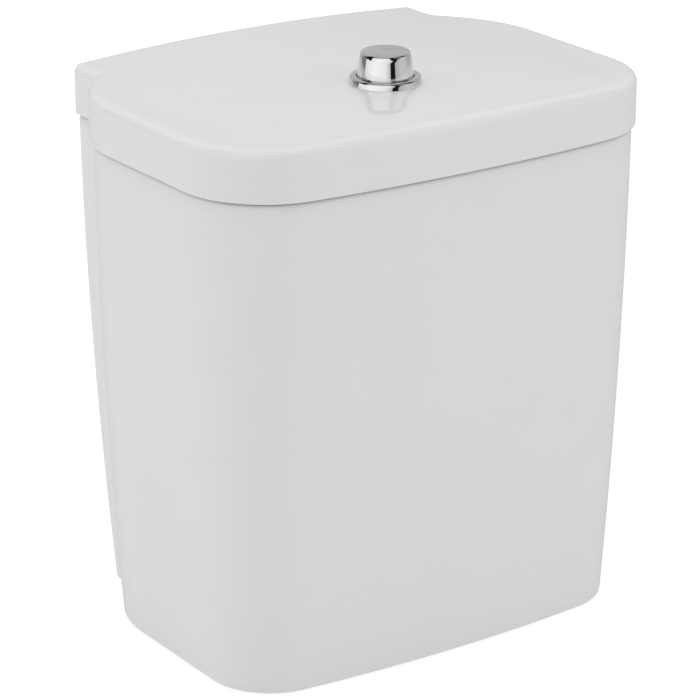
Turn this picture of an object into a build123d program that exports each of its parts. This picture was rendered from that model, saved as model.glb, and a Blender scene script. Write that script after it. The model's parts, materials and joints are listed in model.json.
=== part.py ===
"""Close-coupled toilet cistern with its flush valve, fill valve and push button, in millimetres.

The frame: +Z up, +Y towards the wall, +X to the right seen from the front.
The origin is the flush outlet's axis at the level of the base.
"""

import math
import os

from build123d import *

UPRIGHT = (Align.CENTER, Align.CENTER, Align.MIN)

# Plan of the lid, which every other ceramic outline is inset from
lid_width = 350.0
lid_depth = 267.5
shoulder_step = 33.8
shoulder_angle = 45.0
shoulder_r = 95.0
notch_r = 8.0
notch_from_wall = 29.5
front_corner_r = 63.0
front_bow = 13.0
rear_corner_margin = 0.5

# Heights of the ceramic
body_height = 345.5
lid_gap = 1.5
lid_skirt = 35.0
lid_top_thickness = 10.0
pad_height = 2.7
crown_height = 4.8

# Walls of the ceramic
top_inset = 2.6
base_inset = 15.5
lean_share = 0.21
body_wall = 10.5
rim_wall = 8.0
lid_wall = 8.0
lid_side_clearance = 2.5
floor_thickness = 12.0
recess_depth = 24.0
foot_width = 12.0
neck_height = 14.0
base_edge_r = 3.0
lid_edge_r = 6.0
front_clearance = 17.3

# Clearances that several pieces share
contact_gap = 0.35
slip_clearance = 0.3
fit_clearance = 0.1
pin_clearance = 0.05
seal_thickness = 3.0

# Lid pads and wall fixings
pad_r = 3.4
pad_front_x = 80.0
pad_side_from_wall = 112.0
fixing_spacing = 200.0
fixing_drop = 45.5
fixing_hole_r = 4.0

# Flush valve
outlet_r = 24.0
outlet_length_above_floor = 5.0
tail_wall = 5.8
seat_step = 1.0
seat_lip_width = 2.5
seat_lip_height = 2.8
flush_hole_clearance = 1.7
seal_overlap = 1.5
cage_room = 5.0
cage_post_depth = 4.5
cage_post_width = 9.0
cage_posts = 6
cage_height = 40.0
cage_ring_height = 8.0
cage_ring_clearance = 1.0
base_flange_margin = 1.5
base_flange_height = 5.0
tower_step = 3.0
tower_wall = 2.5
tower_foot_height = 3.0
spigot_wall = 2.0
window_width = 26.0
window_margin = 16.0
cap_thickness = 6.0
cap_skirt = 8.0
cap_wall = 2.7
backnut_rim = 5.2
backnut_height = 10.0

# Moving parts of the flush valve
press_travel = 10.0
tube_r = 12.0
tube_wall = 1.6
tube_flange_r = 22.0
tube_flange_height = 3.0
tube_head_clearance = 5.0
retainer_r = 19.0
retainer_height = 2.8
float_ring_clearance = 3.7
float_ring_height = 28.0
float_ring_rise = 80.0
collar_hub_wall = 3.0
collar_hub_height = 10.0
collar_flange_width = 4.6
collar_flange_height = 4.0
nose_standoff = 4.0
rocker_nose_r = 2.0
rocker_hub_r = 4.0
rocker_width = 6.0
rocker_pin_r = 1.5
rocker_rise = 17.0
ear_thickness = 2.5
ear_width = 9.0
ear_margin = 4.5
post_r = 4.0
post_inset = 7.0
post_height = 62.0
sleeve_wall = 2.9
sleeve_length = 26.0
bridge_width = 10.0
bridge_height = 6.0
leg_thickness = 6.0
leg_width = 8.0
leg_inset = 0.9
leg_length = 40.0
socket_wall = 2.3
socket_clearance = 0.7
socket_depth = 6.0
plunger_headroom = 43.65

# Coupling under the tank
plate_end_clearance = 6.0
plate_end_margin = 18.0
plate_width = 34.0
plate_disc_r = 44.0
plate_thickness = 2.5
plate_drop = 7.0
plate_step_clearance = 2.6
plate_step_run = 8.0
bolt_hole_r = 4.5
gasket_wall = 10.0
gasket_lift = 1.0

# Fill valve
inlet_from_side = 57.0
inlet_thread_r = 10.48
inlet_thread_relief = 0.28
inlet_free_length = 12.0
inlet_hole_clearance = 1.0
inlet_bore_r = 6.2
inlet_flange_r = 17.0
inlet_flange_height = 5.0
inlet_nut_rim = 4.5
inlet_nut_height = 11.0
inlet_nut_flange_r = 18.0
inlet_nut_flange_height = 3.0
filter_wall = 1.2
filter_start = 8.0
filter_length = 30.0
riser_r = 8.5
riser_wall = 2.5
riser_drop = 141.0
head_r = 17.0
head_height = 34.0
head_floor = 4.0
head_wall = 3.0
cap_cover_lip = 1.0
cap_cover_height = 8.0
diaphragm_thickness = 1.6
diaphragm_drop = 4.0
outlet_tube_r = 5.5
outlet_tube_wall = 1.2
outlet_tube_rise = 16.0
outlet_tube_clearance = 2.0
outlet_boss_wall = 2.5
outlet_boss_height = 12.0
outlet_boss_rise = 6.0
float_outer_r = 24.0
float_bore_clearance = 0.9
float_wall = 1.8
float_height = 46.0
float_drop = 78.0
float_travel = 14.0
float_lug_r = 4.2
float_lug_height = 9.0
stop_ring_width = 4.0
stop_ring_height = 4.0
arm_pivot_back = 14.0
arm_clearance = 2.0
arm_thickness = 4.0
arm_width = 9.4
arm_eye_wall = 2.9
arm_hub_r = 4.0
arm_hole_clearance = 1.1
float_rod_r = 1.5
float_rod_tail = 9.0
clip_width = 2.5
clip_height = 1.6
clip_gap = 1.1
arm_pin_r = 1.5
arm_ear_thickness = 2.5
arm_ear_width = 8.0

# Blanked spare inlet
blank_head_r = 17.0
blank_head_height = 5.0
blank_nut_rim = 3.7
blank_nut_height = 9.0
blank_tail = 2.5

# Push button
land_drop = 1.3
land_margin = 0.6
bezel_rim = 1.9
bezel_height = 5.2
bezel_edge_r = 2.4
dome_base_r = 19.0
dome_taper = 2.1
dome_rise = 21.4
dome_cone_start = 6.2
dome_edge_r = 2.0
dome_wall = 1.6
dome_skirt_drop = 4.0
guide_wall = 1.5
guide_flange_margin = 1.4
guide_flange_height = 2.5
guide_length = 33.0
guide_floor = 3.0
guide_hole_clearance = 0.55
guide_nut_rim = 4.1
guide_nut_height = 7.5
guide_seal_thickness = 2.5
guide_seal_width = 6.0
push_rod_r = 4.0
rod_hole_clearance = 0.4
rod_foot_width = 2.0
rod_foot_height = 5.0
rod_grip = 11.0
rod_nut_rim = 2.5
rod_nut_height = 6.0
boss_r = 10.5
boss_drop = 2.0
spring_r = 8.0
spring_wire_r = 0.7
spring_turns = 6
overrun = 1.0

# Crown of the lid: shares of its reach and height, then of depth, half width and height
crown_shares = [(0, 1), (0.25, 0.94), (0.5, 0.75), (0.75, 0.4), (0.9, 0.12), (1, 0)]
crown_section_shares = [(0, 0.8, 1), (0.3, 0.93, 0.99), (0.6, 0.93, 0.86), (0.84, 0.9, 0.42), (1, 0.8, 0)]
body_level_shares = [0.0, 0.25, 0.5, 0.75, 1.0]

# Levels of the ceramic
lid_bottom = body_height + lid_gap
lid_edge = lid_bottom + lid_skirt
lid_under = lid_edge - lid_top_thickness
rim_top = lid_under - slip_clearance - pad_height
floor_top = recess_depth + floor_thickness
neck_bottom = body_height - neck_height
fixing_height = body_height - fixing_drop
button_land = lid_edge + crown_height - land_drop
seal_base = floor_top + seal_thickness

# Flush valve outwards from its outlet, then upwards
tail_r = outlet_r + tail_wall
seat_bore_r = outlet_r + seat_step
seat_lip_r = seat_bore_r + seat_lip_width
flush_seal_r = seat_lip_r + seal_overlap
cage_inner_r = flush_seal_r + cage_room
cage_outer_r = cage_inner_r + cage_post_depth
base_flange_r = cage_outer_r + base_flange_margin
cage_ring_r = flush_seal_r + cage_ring_clearance
spigot_r = cage_ring_r - slip_clearance
spigot_bore_r = spigot_r - spigot_wall
tower_r = cage_ring_r + tower_step
cap_r = tower_r + slip_clearance + cap_wall
outlet_top = floor_top + outlet_length_above_floor
base_flange_top = seal_base + base_flange_height
seat_top = base_flange_top + seat_lip_height
cage_top = base_flange_top + cage_height
tower_bottom = cage_top + cage_ring_height
seal_bottom = seat_top + slip_clearance
seal_top = seal_bottom + seal_thickness
backnut_across_flats = 2 * (tail_r + backnut_rim)
backnut_corner_r = backnut_across_flats / 2 / math.cos(math.pi / 6)
gasket_pocket_r = backnut_corner_r + slip_clearance
gasket_r = gasket_pocket_r + gasket_wall

# Plan of the ceramic round the outlet
half_width = lid_width / 2
rear_half = half_width - shoulder_step
rear_corner_r = lid_edge_r + rear_corner_margin
body_corner_r = base_edge_r + rear_corner_margin
wall_y = lid_depth - base_inset - foot_width - gasket_r - front_clearance
rim_inset = lid_wall + lid_side_clearance
inlet_x = half_width - inlet_from_side

# Button from its dome outwards, then down through the lid
bore_r = dome_base_r + contact_gap
guide_r = bore_r + guide_wall
lid_hole_r = guide_r + guide_hole_clearance
guide_flange_r = lid_hole_r + guide_flange_margin
bezel_r = guide_flange_r + bezel_rim
bezel_bore_height = guide_flange_height + slip_clearance
guide_bottom = button_land + guide_flange_height - guide_length - guide_floor
guide_floor_top = guide_bottom + guide_floor
rod_foot_r = push_rod_r + rod_foot_width
spring_bottom = guide_floor_top + slip_clearance
spring_top = button_land - boss_drop - slip_clearance
spring_height = spring_top - spring_bottom

# Plunger, rockers and tower down from the button's guide
half_press = press_travel / 2
rocker_pivot_r = tower_r - tower_step
rocker_arm = rocker_pivot_r - tube_r - nose_standoff
rocker_swing = math.degrees(math.asin(half_press / rocker_arm))
socket_r = rod_foot_r + socket_clearance + socket_wall
bridge_top = guide_bottom - plunger_headroom
bridge_bottom = bridge_top - bridge_height
leg_bottom = bridge_bottom - leg_length
rocker_z = leg_bottom - contact_gap - rocker_nose_r - half_press
cap_top = rocker_z - rocker_rise
tower_top = cap_top - cap_thickness
post_offset = tower_r - post_inset
collar_bottom = rocker_z - half_press + rocker_nose_r + contact_gap
tube_top = bridge_bottom - 2 * press_travel - tube_head_clearance
rod_bottom = bridge_top + socket_depth / 2 + contact_gap

# Fill valve from its tail outwards, then down from the rim
inlet_neck_r = inlet_thread_r - inlet_thread_relief
inlet_hole_r = inlet_thread_r + inlet_hole_clearance
filter_r = inlet_bore_r - slip_clearance
float_bore_r = riser_r + float_bore_clearance
stop_ring_r = riser_r + stop_ring_width
outlet_offset = float_outer_r + outlet_tube_clearance + outlet_tube_r
arm_hole_r = float_rod_r + arm_hole_clearance
arm_length = arm_pivot_back + float_outer_r
riser_top = rim_top - riser_drop
head_top = riser_top + head_height
float_low = riser_top - float_drop
arm_pivot_z = head_top + cap_cover_height + float_travel / 2 + arm_thickness / 2 + arm_clearance
arm_tilt = math.degrees(math.asin(float_travel / 2 / arm_length))
rod_y = arm_pivot_back - arm_length
rod_eye_z = arm_pivot_z - float_travel / 2

# Coupling plate between the inlets
plate_half_length = inlet_x - inlet_nut_flange_r - plate_end_clearance
plate_flat_half = gasket_r + plate_step_clearance
bolt_x = plate_half_length - plate_end_margin


def rod(radius, bottom, top, x=0.0, y=0.0):
    """An upright round bar between two levels."""
    return Pos(x, y, bottom) * Cylinder(radius, top - bottom, align=UPRIGHT)


def ring(outer_r, inner_r, bottom, top, x=0.0, y=0.0):
    """An upright tube or washer between two levels."""
    return rod(outer_r, bottom, top, x, y) - rod(inner_r, bottom - overrun, top + overrun, x, y)


def hexagon(across_flats, bottom, top, x=0.0, y=0.0):
    """An upright hexagonal bar, measured across its flats."""
    face = RegularPolygon(across_flats / 2, 6, major_radius=False)
    return extrude(Pos(x, y, bottom) * face, top - bottom)


def block(low, high):
    """A box from its lowest corner to its highest."""
    size = [high[i] - low[i] for i in range(3)]
    return Pos(*low) * Box(*size, align=(Align.MIN, Align.MIN, Align.MIN))


def arc_about(centre, start, end):
    """The short arc from start to end about a centre."""
    middle = (start + end) / 2 - centre
    radius = (start - centre).length
    return ThreePointArc(start, centre + middle.normalized() * radius, end)


def plan_outline(inset, corner_r=rear_corner_r):
    """The closed plan outline, drawn in from the lid's outline by an inset all round."""
    tilt = math.radians(shoulder_angle)
    tangent = math.tan(tilt / 2)
    slant = Vector(math.cos(tilt), math.sin(tilt))
    notch_centre = Vector(rear_half + notch_r, wall_y - notch_from_wall)
    step_y = notch_centre.Y - notch_r * tangent - shoulder_step / math.tan(tilt)
    shoulder_centre = Vector(half_width - shoulder_r, step_y - shoulder_r * tangent)
    bow_r = (half_width**2 + front_bow**2) / (2 * front_bow)
    bow_centre = Vector(0, wall_y - lid_depth + bow_r)
    corner_x = half_width - front_corner_r
    corner_drop = math.sqrt((bow_r - front_corner_r) ** 2 - corner_x**2)
    corner_centre = Vector(corner_x, bow_centre.Y - corner_drop)

    rear_y = wall_y - inset
    wide_notch = notch_r + inset
    rear_centre_y = rear_y - corner_r
    overlap = max(0.0, notch_centre.Y - rear_centre_y)
    reach = math.sqrt((wide_notch + corner_r) ** 2 - overlap**2)
    rear_centre = Vector(notch_centre.X - reach, rear_centre_y)
    outward = Vector(reach, overlap).normalized()

    rear = Vector(rear_centre.X, rear_y)
    rear_side = rear_centre + outward * corner_r
    notch_start = notch_centre - outward * wide_notch
    notch_end = notch_centre - slant * wide_notch
    shoulder_start = shoulder_centre + slant * (shoulder_r - inset)
    side_back = Vector(half_width - inset, shoulder_centre.Y)
    side_front = Vector(half_width - inset, corner_centre.Y)
    front = bow_centre + (corner_centre - bow_centre).normalized() * (bow_r - inset)

    right = [arc_about(rear_centre, rear, rear_side)]
    if not overlap:
        right.append(Line(rear_side, notch_start))
    right += [
        arc_about(notch_centre, notch_start, notch_end),
        Line(notch_end, shoulder_start),
        arc_about(shoulder_centre, shoulder_start, side_back),
        Line(side_back, side_front),
        arc_about(corner_centre, side_front, front),
    ]
    left = [edge.mirror(Plane.YZ) for edge in right]
    back_line = Line(Vector(-rear.X, rear.Y), rear)
    bow_arc = arc_about(bow_centre, front, Vector(-front.X, front.Y))
    return Wire([back_line, *right, bow_arc, *reversed(left)])


def plan_face(inset, level, corner_r=rear_corner_r):
    """The plan outline as a face at a level."""
    return Pos(0, 0, level) * Face(plan_outline(inset, corner_r))


def plan_prism(inset, bottom, top):
    """An upright prism of the plan outline."""
    return extrude(plan_face(inset, bottom), top - bottom, dir=(0, 0, 1))


def body_inset(level):
    """How far the barrel-shaped body stands in from the lid's outline at a level."""
    depth_share = (body_height - level) / body_height
    curve = lean_share * depth_share + (1 - lean_share) * depth_share**2
    return top_inset + (base_inset - top_inset) * curve


def front_y(inset, x):
    """The Y of the bowed front at an X."""
    bow_r = (half_width**2 + front_bow**2) / (2 * front_bow)
    return wall_y - lid_depth + bow_r - math.sqrt((bow_r - inset) ** 2 - x**2)


def cistern_tank():
    """The ceramic tank: a barrel-sided body, a rim inside the lid, and a recess below the floor."""
    levels = [share * body_height for share in body_level_shares]
    body = loft([plan_face(body_inset(level), level, body_corner_r) for level in levels])
    body = fillet(body.edges().group_by(Axis.Z)[0], base_edge_r)
    rim = plan_prism(rim_inset, body_height - overrun, rim_top)
    cavity_span = neck_bottom - floor_top
    cavity_levels = [floor_top + share * cavity_span for share in body_level_shares]
    cavity = loft(
        [plan_face(body_inset(level) + body_wall, level, body_corner_r) for level in cavity_levels]
    )
    mouth_inset = rim_inset + rim_wall
    neck_top = body_height + lid_gap
    neck = loft(
        [
            plan_face(body_inset(neck_bottom) + body_wall, neck_bottom, body_corner_r),
            plan_face(mouth_inset, neck_top),
        ],
        ruled=True,
    )
    mouth = plan_prism(mouth_inset, neck_top - overrun, rim_top + overrun)
    recess = plan_prism(base_inset + foot_width, -overrun, recess_depth)
    tank = body + rim - cavity - neck - mouth - recess
    tank -= rod(tail_r + flush_hole_clearance, recess_depth - overrun, floor_top + overrun)
    for side in (-1, 1):
        tank -= rod(inlet_hole_r, recess_depth - overrun, floor_top + overrun, side * inlet_x)
        wall_depth = body_inset(fixing_height) + 2 * body_wall
        screw = Cylinder(fixing_hole_r, wall_depth, align=UPRIGHT)
        tank -= Pos(side * fixing_spacing / 2, wall_y, fixing_height) * Rot(90, 0, 0) * screw
    return tank


def lid_pads():
    """Four soft pads on the rim that the lid rests on."""
    middle_inset = rim_inset + rim_wall / 2
    side_place = (half_width - middle_inset, wall_y - pad_side_from_wall)
    front_place = (pad_front_x, front_y(middle_inset, pad_front_x))
    pads = []
    for x, y in (side_place, front_place):
        for side in (-1, 1):
            pads.append(rod(pad_r, rim_top, rim_top + pad_height, side * x, y))
    return Compound(pads)


def crown_section(out_share, reach_share, rise_share):
    """An upright face across the lid: flat at the sides with a smooth swell between them."""
    reach = half_width * reach_share
    rise = crown_height * rise_share
    heights = [(share * reach, lid_edge + height * rise) for share, height in crown_shares]
    points = [(-x, z) for x, z in reversed(heights)] + heights[1:]
    left, right = points[0], points[-1]
    side_x = half_width + overrun
    swell = Spline(*points, tangents=[(1, 0), (1, 0)])
    skirt = Polyline(
        right, (side_x, lid_edge), (side_x, lid_bottom), (-side_x, lid_bottom),
        (-side_x, lid_edge), left,
    )
    face = Plane.XZ * Face(Wire([swell, *skirt.edges()]))
    return Pos(0, wall_y + overrun - out_share * (lid_depth + 2 * overrun), 0) * face


def cistern_lid():
    """The ceramic lid: a crowned top with a rounded edge, a skirt, and a hole for the button."""
    swell = loft([crown_section(*shares) for shares in crown_section_shares])
    lid = plan_prism(0, lid_bottom, lid_edge + 2 * crown_height) & swell
    sides = [face for face in lid.faces() if abs(face.normal_at().Z) < 1 / 2]
    outline = [edge for face in sides for edge in face.edges() if edge.center().Z > lid_edge - overrun]
    lid = fillet(outline, lid_edge_r)
    lid -= plan_prism(lid_wall, lid_bottom - overrun, lid_under)
    lid += rod(bezel_r + land_margin, lid_under, button_land)
    lid -= rod(bezel_r + land_margin, button_land, lid_edge + 2 * crown_height)
    lid -= rod(lid_hole_r, lid_under - overrun, button_land + overrun)
    return lid


def flush_valve_base():
    """Tail, flange, seat lip and the cage of posts that carries the tower."""
    part = rod(tail_r, 0, base_flange_top)
    part += rod(base_flange_r, seal_base, base_flange_top)
    part += rod(seat_lip_r, seal_base, seat_top)
    part -= rod(outlet_r, -overrun, outlet_top)
    part -= rod(seat_bore_r, outlet_top, seat_top + overrun)
    post = block(
        (cage_inner_r, -cage_post_width / 2, base_flange_top - overrun),
        (cage_outer_r, cage_post_width / 2, cage_top + overrun),
    )
    for turn in range(cage_posts):
        part += Rot(0, 0, 360 / cage_posts * (turn + 1 / 2)) * post
    part += ring(cage_outer_r, cage_ring_r, cage_top, tower_bottom)
    return part


def valve_tower():
    """The windowed tower that drops into the cage ring and guides the overflow tube."""
    inner_r = tower_r - tower_wall
    part = ring(tower_r, inner_r, tower_bottom, tower_top)
    part += ring(cage_outer_r, spigot_bore_r, tower_bottom, tower_bottom + tower_foot_height)
    part += ring(spigot_r, spigot_bore_r, cage_top, tower_bottom + tower_foot_height)
    window = block(
        (-tower_r - overrun, -window_width / 2, tower_bottom + window_margin),
        (tower_r + overrun, window_width / 2, tower_top - window_margin),
    )
    return part - window - Rot(0, 0, 90) * window


def tower_cap():
    """The tower's lid, with the tube's guide hole, the rockers' ears and two guide posts."""
    part = rod(cap_r, tower_top, cap_top)
    part += ring(cap_r, tower_r + slip_clearance, tower_top - cap_skirt, tower_top + overrun)
    part -= rod(tube_r + slip_clearance, tower_top - overrun, cap_top + overrun)
    ear_inner = rocker_width / 2 + slip_clearance
    ear = block(
        (rocker_pivot_r - ear_width / 2, ear_inner, cap_top - overrun),
        (rocker_pivot_r + ear_width / 2, ear_inner + ear_thickness, rocker_z + ear_margin),
    )
    pin_hole = Cylinder(rocker_pin_r + pin_clearance, bridge_width + 2 * ear_inner)
    pin_hole = Pos(rocker_pivot_r, 0, rocker_z) * Rot(90, 0, 0) * pin_hole
    for turn in (0, 180):
        pair = Rot(0, 0, turn) * (ear + ear.mirror(Plane.XZ))
        part += pair
        part -= Rot(0, 0, turn) * pin_hole
        part += rod(post_r, cap_top - overrun, cap_top + post_height, 0, post_offset).rotate(
            Axis.Z, turn
        )
    return part


def rocker_pins():
    """The two pins that the rockers swing on."""
    length = rocker_width + 2 * slip_clearance + 2 * ear_thickness
    pin = Rot(90, 0, 0) * Cylinder(rocker_pin_r, length)
    return Compound([Pos(side * rocker_pivot_r, 0, rocker_z) * pin for side in (-1, 1)])


def tapered_arm(near_r, far_r, length):
    """The flat outline of an arm that tapers from one round end at the origin to another."""
    lean = math.acos((near_r - far_r) / length)
    across, rise = math.cos(lean), math.sin(lean)
    near, far = (near_r * across, near_r * rise), (length + far_r * across, far_r * rise)
    outline = Polyline(near, far, (far[0], -far[1]), (near[0], -near[1]), close=True)
    return Face(outline.wire()) + Circle(near_r) + Pos(length, 0) * Circle(far_r)


def rocker(side):
    """One rocker at rest, its outer nose up under the plunger's leg and its inner nose down."""
    arm = tapered_arm(rocker_hub_r, rocker_nose_r, rocker_arm)
    profile = arm + Rot(0, 0, 180) * arm - Circle(rocker_pin_r + pin_clearance)
    part = extrude(Plane.XZ * profile, rocker_width / 2, both=True)
    part = Rot(0, -rocker_swing, 0) * part
    part = Pos(rocker_pivot_r, 0, rocker_z) * part
    return part if side > 0 else part.mirror(Plane.YZ)


def valve_plunger():
    """The yoke that the button pushes: a socket, two sleeves on the posts and two legs."""
    leg_x = rocker_pivot_r + rocker_arm - leg_inset
    leg_end = leg_x + leg_thickness
    part = block(
        (-leg_end, -bridge_width / 2, bridge_bottom), (leg_end, bridge_width / 2, bridge_top)
    )
    part += block(
        (-bridge_width / 2, -post_offset, bridge_bottom),
        (bridge_width / 2, post_offset, bridge_top),
    )
    part += rod(socket_r, bridge_bottom, bridge_top + socket_depth)
    leg = block(
        (leg_x, -leg_width / 2, leg_bottom), (leg_end, leg_width / 2, bridge_bottom + overrun)
    )
    part += leg + leg.mirror(Plane.YZ)
    for side in (-1, 1):
        y = side * post_offset
        part += rod(post_r + fit_clearance + sleeve_wall, bridge_top - sleeve_length, bridge_top, 0, y)
    for side in (-1, 1):
        y = side * post_offset
        bore_bottom = bridge_top - sleeve_length - overrun
        part -= rod(post_r + fit_clearance, bore_bottom, bridge_top + overrun, 0, y)
    socket_floor = bridge_top + socket_depth / 2
    part -= rod(rod_foot_r + socket_clearance, socket_floor, bridge_top + socket_depth + overrun)
    return part


def overflow_tube():
    """The overflow tube, with the flange that holds the flush seal at its foot."""
    tube_bottom = seal_bottom - retainer_height
    part = rod(tube_r, tube_bottom, tube_top)
    part += rod(tube_flange_r, seal_top, seal_top + tube_flange_height)
    return part - rod(tube_r - tube_wall, tube_bottom - overrun, tube_top + overrun)


def flush_seal():
    """The soft ring that closes the seat."""
    return ring(flush_seal_r, tube_r + fit_clearance, seal_bottom, seal_top)


def seal_retainer():
    """The ring under the seal that holds it to the tube."""
    bottom = seal_bottom - retainer_height
    return ring(retainer_r, tube_r + fit_clearance, bottom, seal_bottom)


def valve_float():
    """The float ring on the overflow tube."""
    outer_r = spigot_bore_r - float_ring_clearance
    bottom = seal_top + float_ring_rise
    return ring(outer_r, tube_r + fit_clearance, bottom, bottom + float_ring_height)


def lift_collar():
    """The collar on the overflow tube that the rockers lift."""
    hole_r = tube_r + fit_clearance
    top = collar_bottom + collar_flange_height
    part = ring(tube_r + collar_flange_width, hole_r, collar_bottom, top)
    return part + ring(tube_r + collar_hub_wall, hole_r, top - overrun, top + collar_hub_height)


def flush_base_seal():
    """The washer between the valve's flange and the tank floor."""
    return ring(base_flange_r, tail_r + fit_clearance, floor_top, seal_base)


def coupling_plate():
    """The steel plate clamped under the tank, its ends stepped down to leave room for bolt heads."""
    top = recess_depth
    low = top - plate_drop
    run = plate_flat_half + plate_step_run
    upper = [(plate_half_length, low), (run, low), (plate_flat_half, top)]
    lower = [(plate_flat_half, top - plate_thickness), (run, low - plate_thickness)]
    lower.append((plate_half_length, low - plate_thickness))
    outline = upper + [(-x, z) for x, z in reversed(upper)]
    outline += [(-x, z) for x, z in reversed(lower)] + lower
    profile = Plane.XZ * Face(Polyline(*outline, close=True).wire())
    part = extrude(profile, plate_width / 2, both=True)
    part += rod(plate_disc_r, top - plate_thickness, top)
    part -= rod(tail_r + slip_clearance, low - plate_drop, top + overrun)
    for side in (-1, 1):
        part -= rod(bolt_hole_r, low - plate_drop, top, side * bolt_x)
    return part


def flush_backnut():
    """The hexagonal nut on the valve's tail."""
    top = recess_depth - plate_thickness
    nut = hexagon(backnut_across_flats, top - backnut_height, top)
    return nut - rod(tail_r + fit_clearance, top - backnut_height - overrun, top + overrun)


def coupling_gasket():
    """The thick soft ring that seals the tail to the pan and covers the nut."""
    nut_top = recess_depth - plate_thickness
    nut_bottom = nut_top - backnut_height
    part = ring(gasket_r, tail_r + slip_clearance, gasket_lift, nut_top - overrun)
    pocket_bottom = nut_bottom - slip_clearance
    part -= rod(gasket_pocket_r, pocket_bottom, nut_top)
    rims = part.edges().filter_by(GeomType.CIRCLE).group_by(SortBy.RADIUS)[-1]
    return chamfer(rims, gasket_wall / 3)


def inlet_tail():
    """The threaded tail of the fill valve, through the floor, with its inner flange."""
    top = seal_base + inlet_flange_height
    part = rod(inlet_neck_r, 0, seal_base + overrun, inlet_x)
    part += rod(inlet_thread_r, 0, inlet_free_length, inlet_x)
    part += rod(inlet_flange_r, seal_base, top, inlet_x)
    return part - rod(inlet_bore_r, -overrun, top + overrun, inlet_x)


def inlet_seal():
    """The washer under the tail's flange."""
    return ring(inlet_flange_r, inlet_neck_r + fit_clearance, floor_top, seal_base, inlet_x)


def flanged_nut(across_flats, height, flange_r, flange_height, bore_r, x):
    """A hexagonal nut with a round flange, drawn up under the floor."""
    top = recess_depth
    part = hexagon(across_flats, top - height, top, x)
    part += rod(flange_r, top - flange_height, top, x)
    return part - rod(bore_r, top - height - overrun, top + overrun, x)


def inlet_filter():
    """The strainer inside the tail: a thin cup, open below."""
    top = filter_start + filter_length
    part = rod(filter_r, filter_start, top, inlet_x)
    return part - rod(filter_r - filter_wall, filter_start - overrun, top - filter_wall, inlet_x)


def fill_riser():
    """The standpipe that carries the valve head, with the stop that the float rests on."""
    bottom = seal_base + inlet_flange_height
    stop_top = float_low - slip_clearance
    part = rod(riser_r, bottom, riser_top, inlet_x)
    part += rod(stop_ring_r, stop_top - stop_ring_height, stop_top, inlet_x)
    return part - rod(riser_r - riser_wall, bottom - overrun, riser_top + overrun, inlet_x)


def fill_valve_head():
    """The valve chamber on the riser, with a boss at the back for the down tube."""
    part = rod(head_r, riser_top, head_top, inlet_x)
    boss_bottom = riser_top + outlet_boss_rise
    boss_top = boss_bottom + outlet_boss_height
    tube_hole_r = outlet_tube_r + fit_clearance
    boss_r_at_tube = tube_hole_r + outlet_boss_wall
    part += rod(boss_r_at_tube, boss_bottom, boss_top, inlet_x, outlet_offset)
    web_half = boss_r_at_tube / 2
    part += block(
        (inlet_x - web_half, 0, boss_bottom), (inlet_x + web_half, outlet_offset, boss_top)
    )
    part -= rod(head_r - head_wall, riser_top + head_floor, head_top + overrun, inlet_x)
    part -= rod(riser_r - riser_wall, riser_top - overrun, head_top, inlet_x)
    tube_seat = boss_top - head_wall
    part -= rod(tube_hole_r, boss_bottom - overrun, tube_seat, inlet_x, outlet_offset)
    return part


def diaphragm():
    """The soft disc that shuts the valve, inside the head."""
    top = head_top - diaphragm_drop
    return rod(head_r - head_wall - fit_clearance, top - diaphragm_thickness, top, inlet_x)


def fill_valve_cap():
    """The head's cover, with a spigot that holds the diaphragm and two ears for the lever."""
    top = head_top + cap_cover_height
    cover_r = head_r + cap_cover_lip
    part = rod(cover_r, head_top, top, inlet_x)
    spigot_r = head_r - head_wall - fit_clearance
    part += rod(spigot_r, head_top - diaphragm_drop, head_top + overrun, inlet_x)
    ear_low = arm_width / 2 + slip_clearance
    ear_back = arm_pivot_back - arm_ear_width / 2
    ear_top = arm_pivot_z + arm_hub_r
    ear = block(
        (ear_low, ear_back, top - overrun),
        (ear_low + arm_ear_thickness, ear_back + arm_ear_width, ear_top),
    )
    part += Pos(inlet_x, 0, 0) * (ear + ear.mirror(Plane.YZ))
    hole = Rot(0, 90, 0) * Cylinder(arm_pin_r + pin_clearance, 2 * cover_r)
    return part - Pos(inlet_x, arm_pivot_back, arm_pivot_z) * hole


def float_arm_pin():
    """The pin that the float's lever swings on."""
    length = arm_width + 2 * slip_clearance + 2 * arm_ear_thickness
    return Pos(inlet_x, arm_pivot_back, arm_pivot_z) * Rot(0, 90, 0) * Cylinder(arm_pin_r, length)


def float_arm():
    """The lever over the valve's cap, its eye down at rest on the float's rod."""
    part = block(
        (-arm_width / 2, -arm_length, -arm_thickness / 2), (arm_width / 2, 0, arm_thickness / 2)
    )
    eye_r = arm_hole_r + arm_eye_wall
    part += rod(eye_r, -arm_thickness / 2, arm_thickness / 2, 0, -arm_length)
    part += Rot(0, 90, 0) * Cylinder(arm_hub_r, arm_width)
    part -= rod(arm_hole_r, -arm_thickness, arm_thickness, 0, -arm_length)
    part -= Rot(0, 90, 0) * Cylinder(arm_pin_r + pin_clearance, arm_width + 2 * overrun)
    return Pos(inlet_x, arm_pivot_back, arm_pivot_z) * Rot(arm_tilt, 0, 0) * part


def float_cup():
    """The inverted cup that floats up the riser, with a lug for the rod."""
    top = float_low + float_height
    part = rod(float_outer_r, float_low, top, inlet_x)
    part += rod(float_lug_r, top - overrun, top + float_lug_height, inlet_x, rod_y + clip_gap)
    part -= ring(
        float_outer_r - float_wall,
        float_bore_r + float_wall,
        float_low - 2 * overrun,
        top - float_wall,
        inlet_x,
    )
    return part - rod(float_bore_r, float_low - overrun, top + overrun, inlet_x)


def float_rod():
    """The thin rod from the float's lug up through the lever's eye."""
    bottom = float_low + float_height + float_lug_height
    return rod(float_rod_r, bottom, rod_eye_z + float_rod_tail, inlet_x, rod_y)


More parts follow.
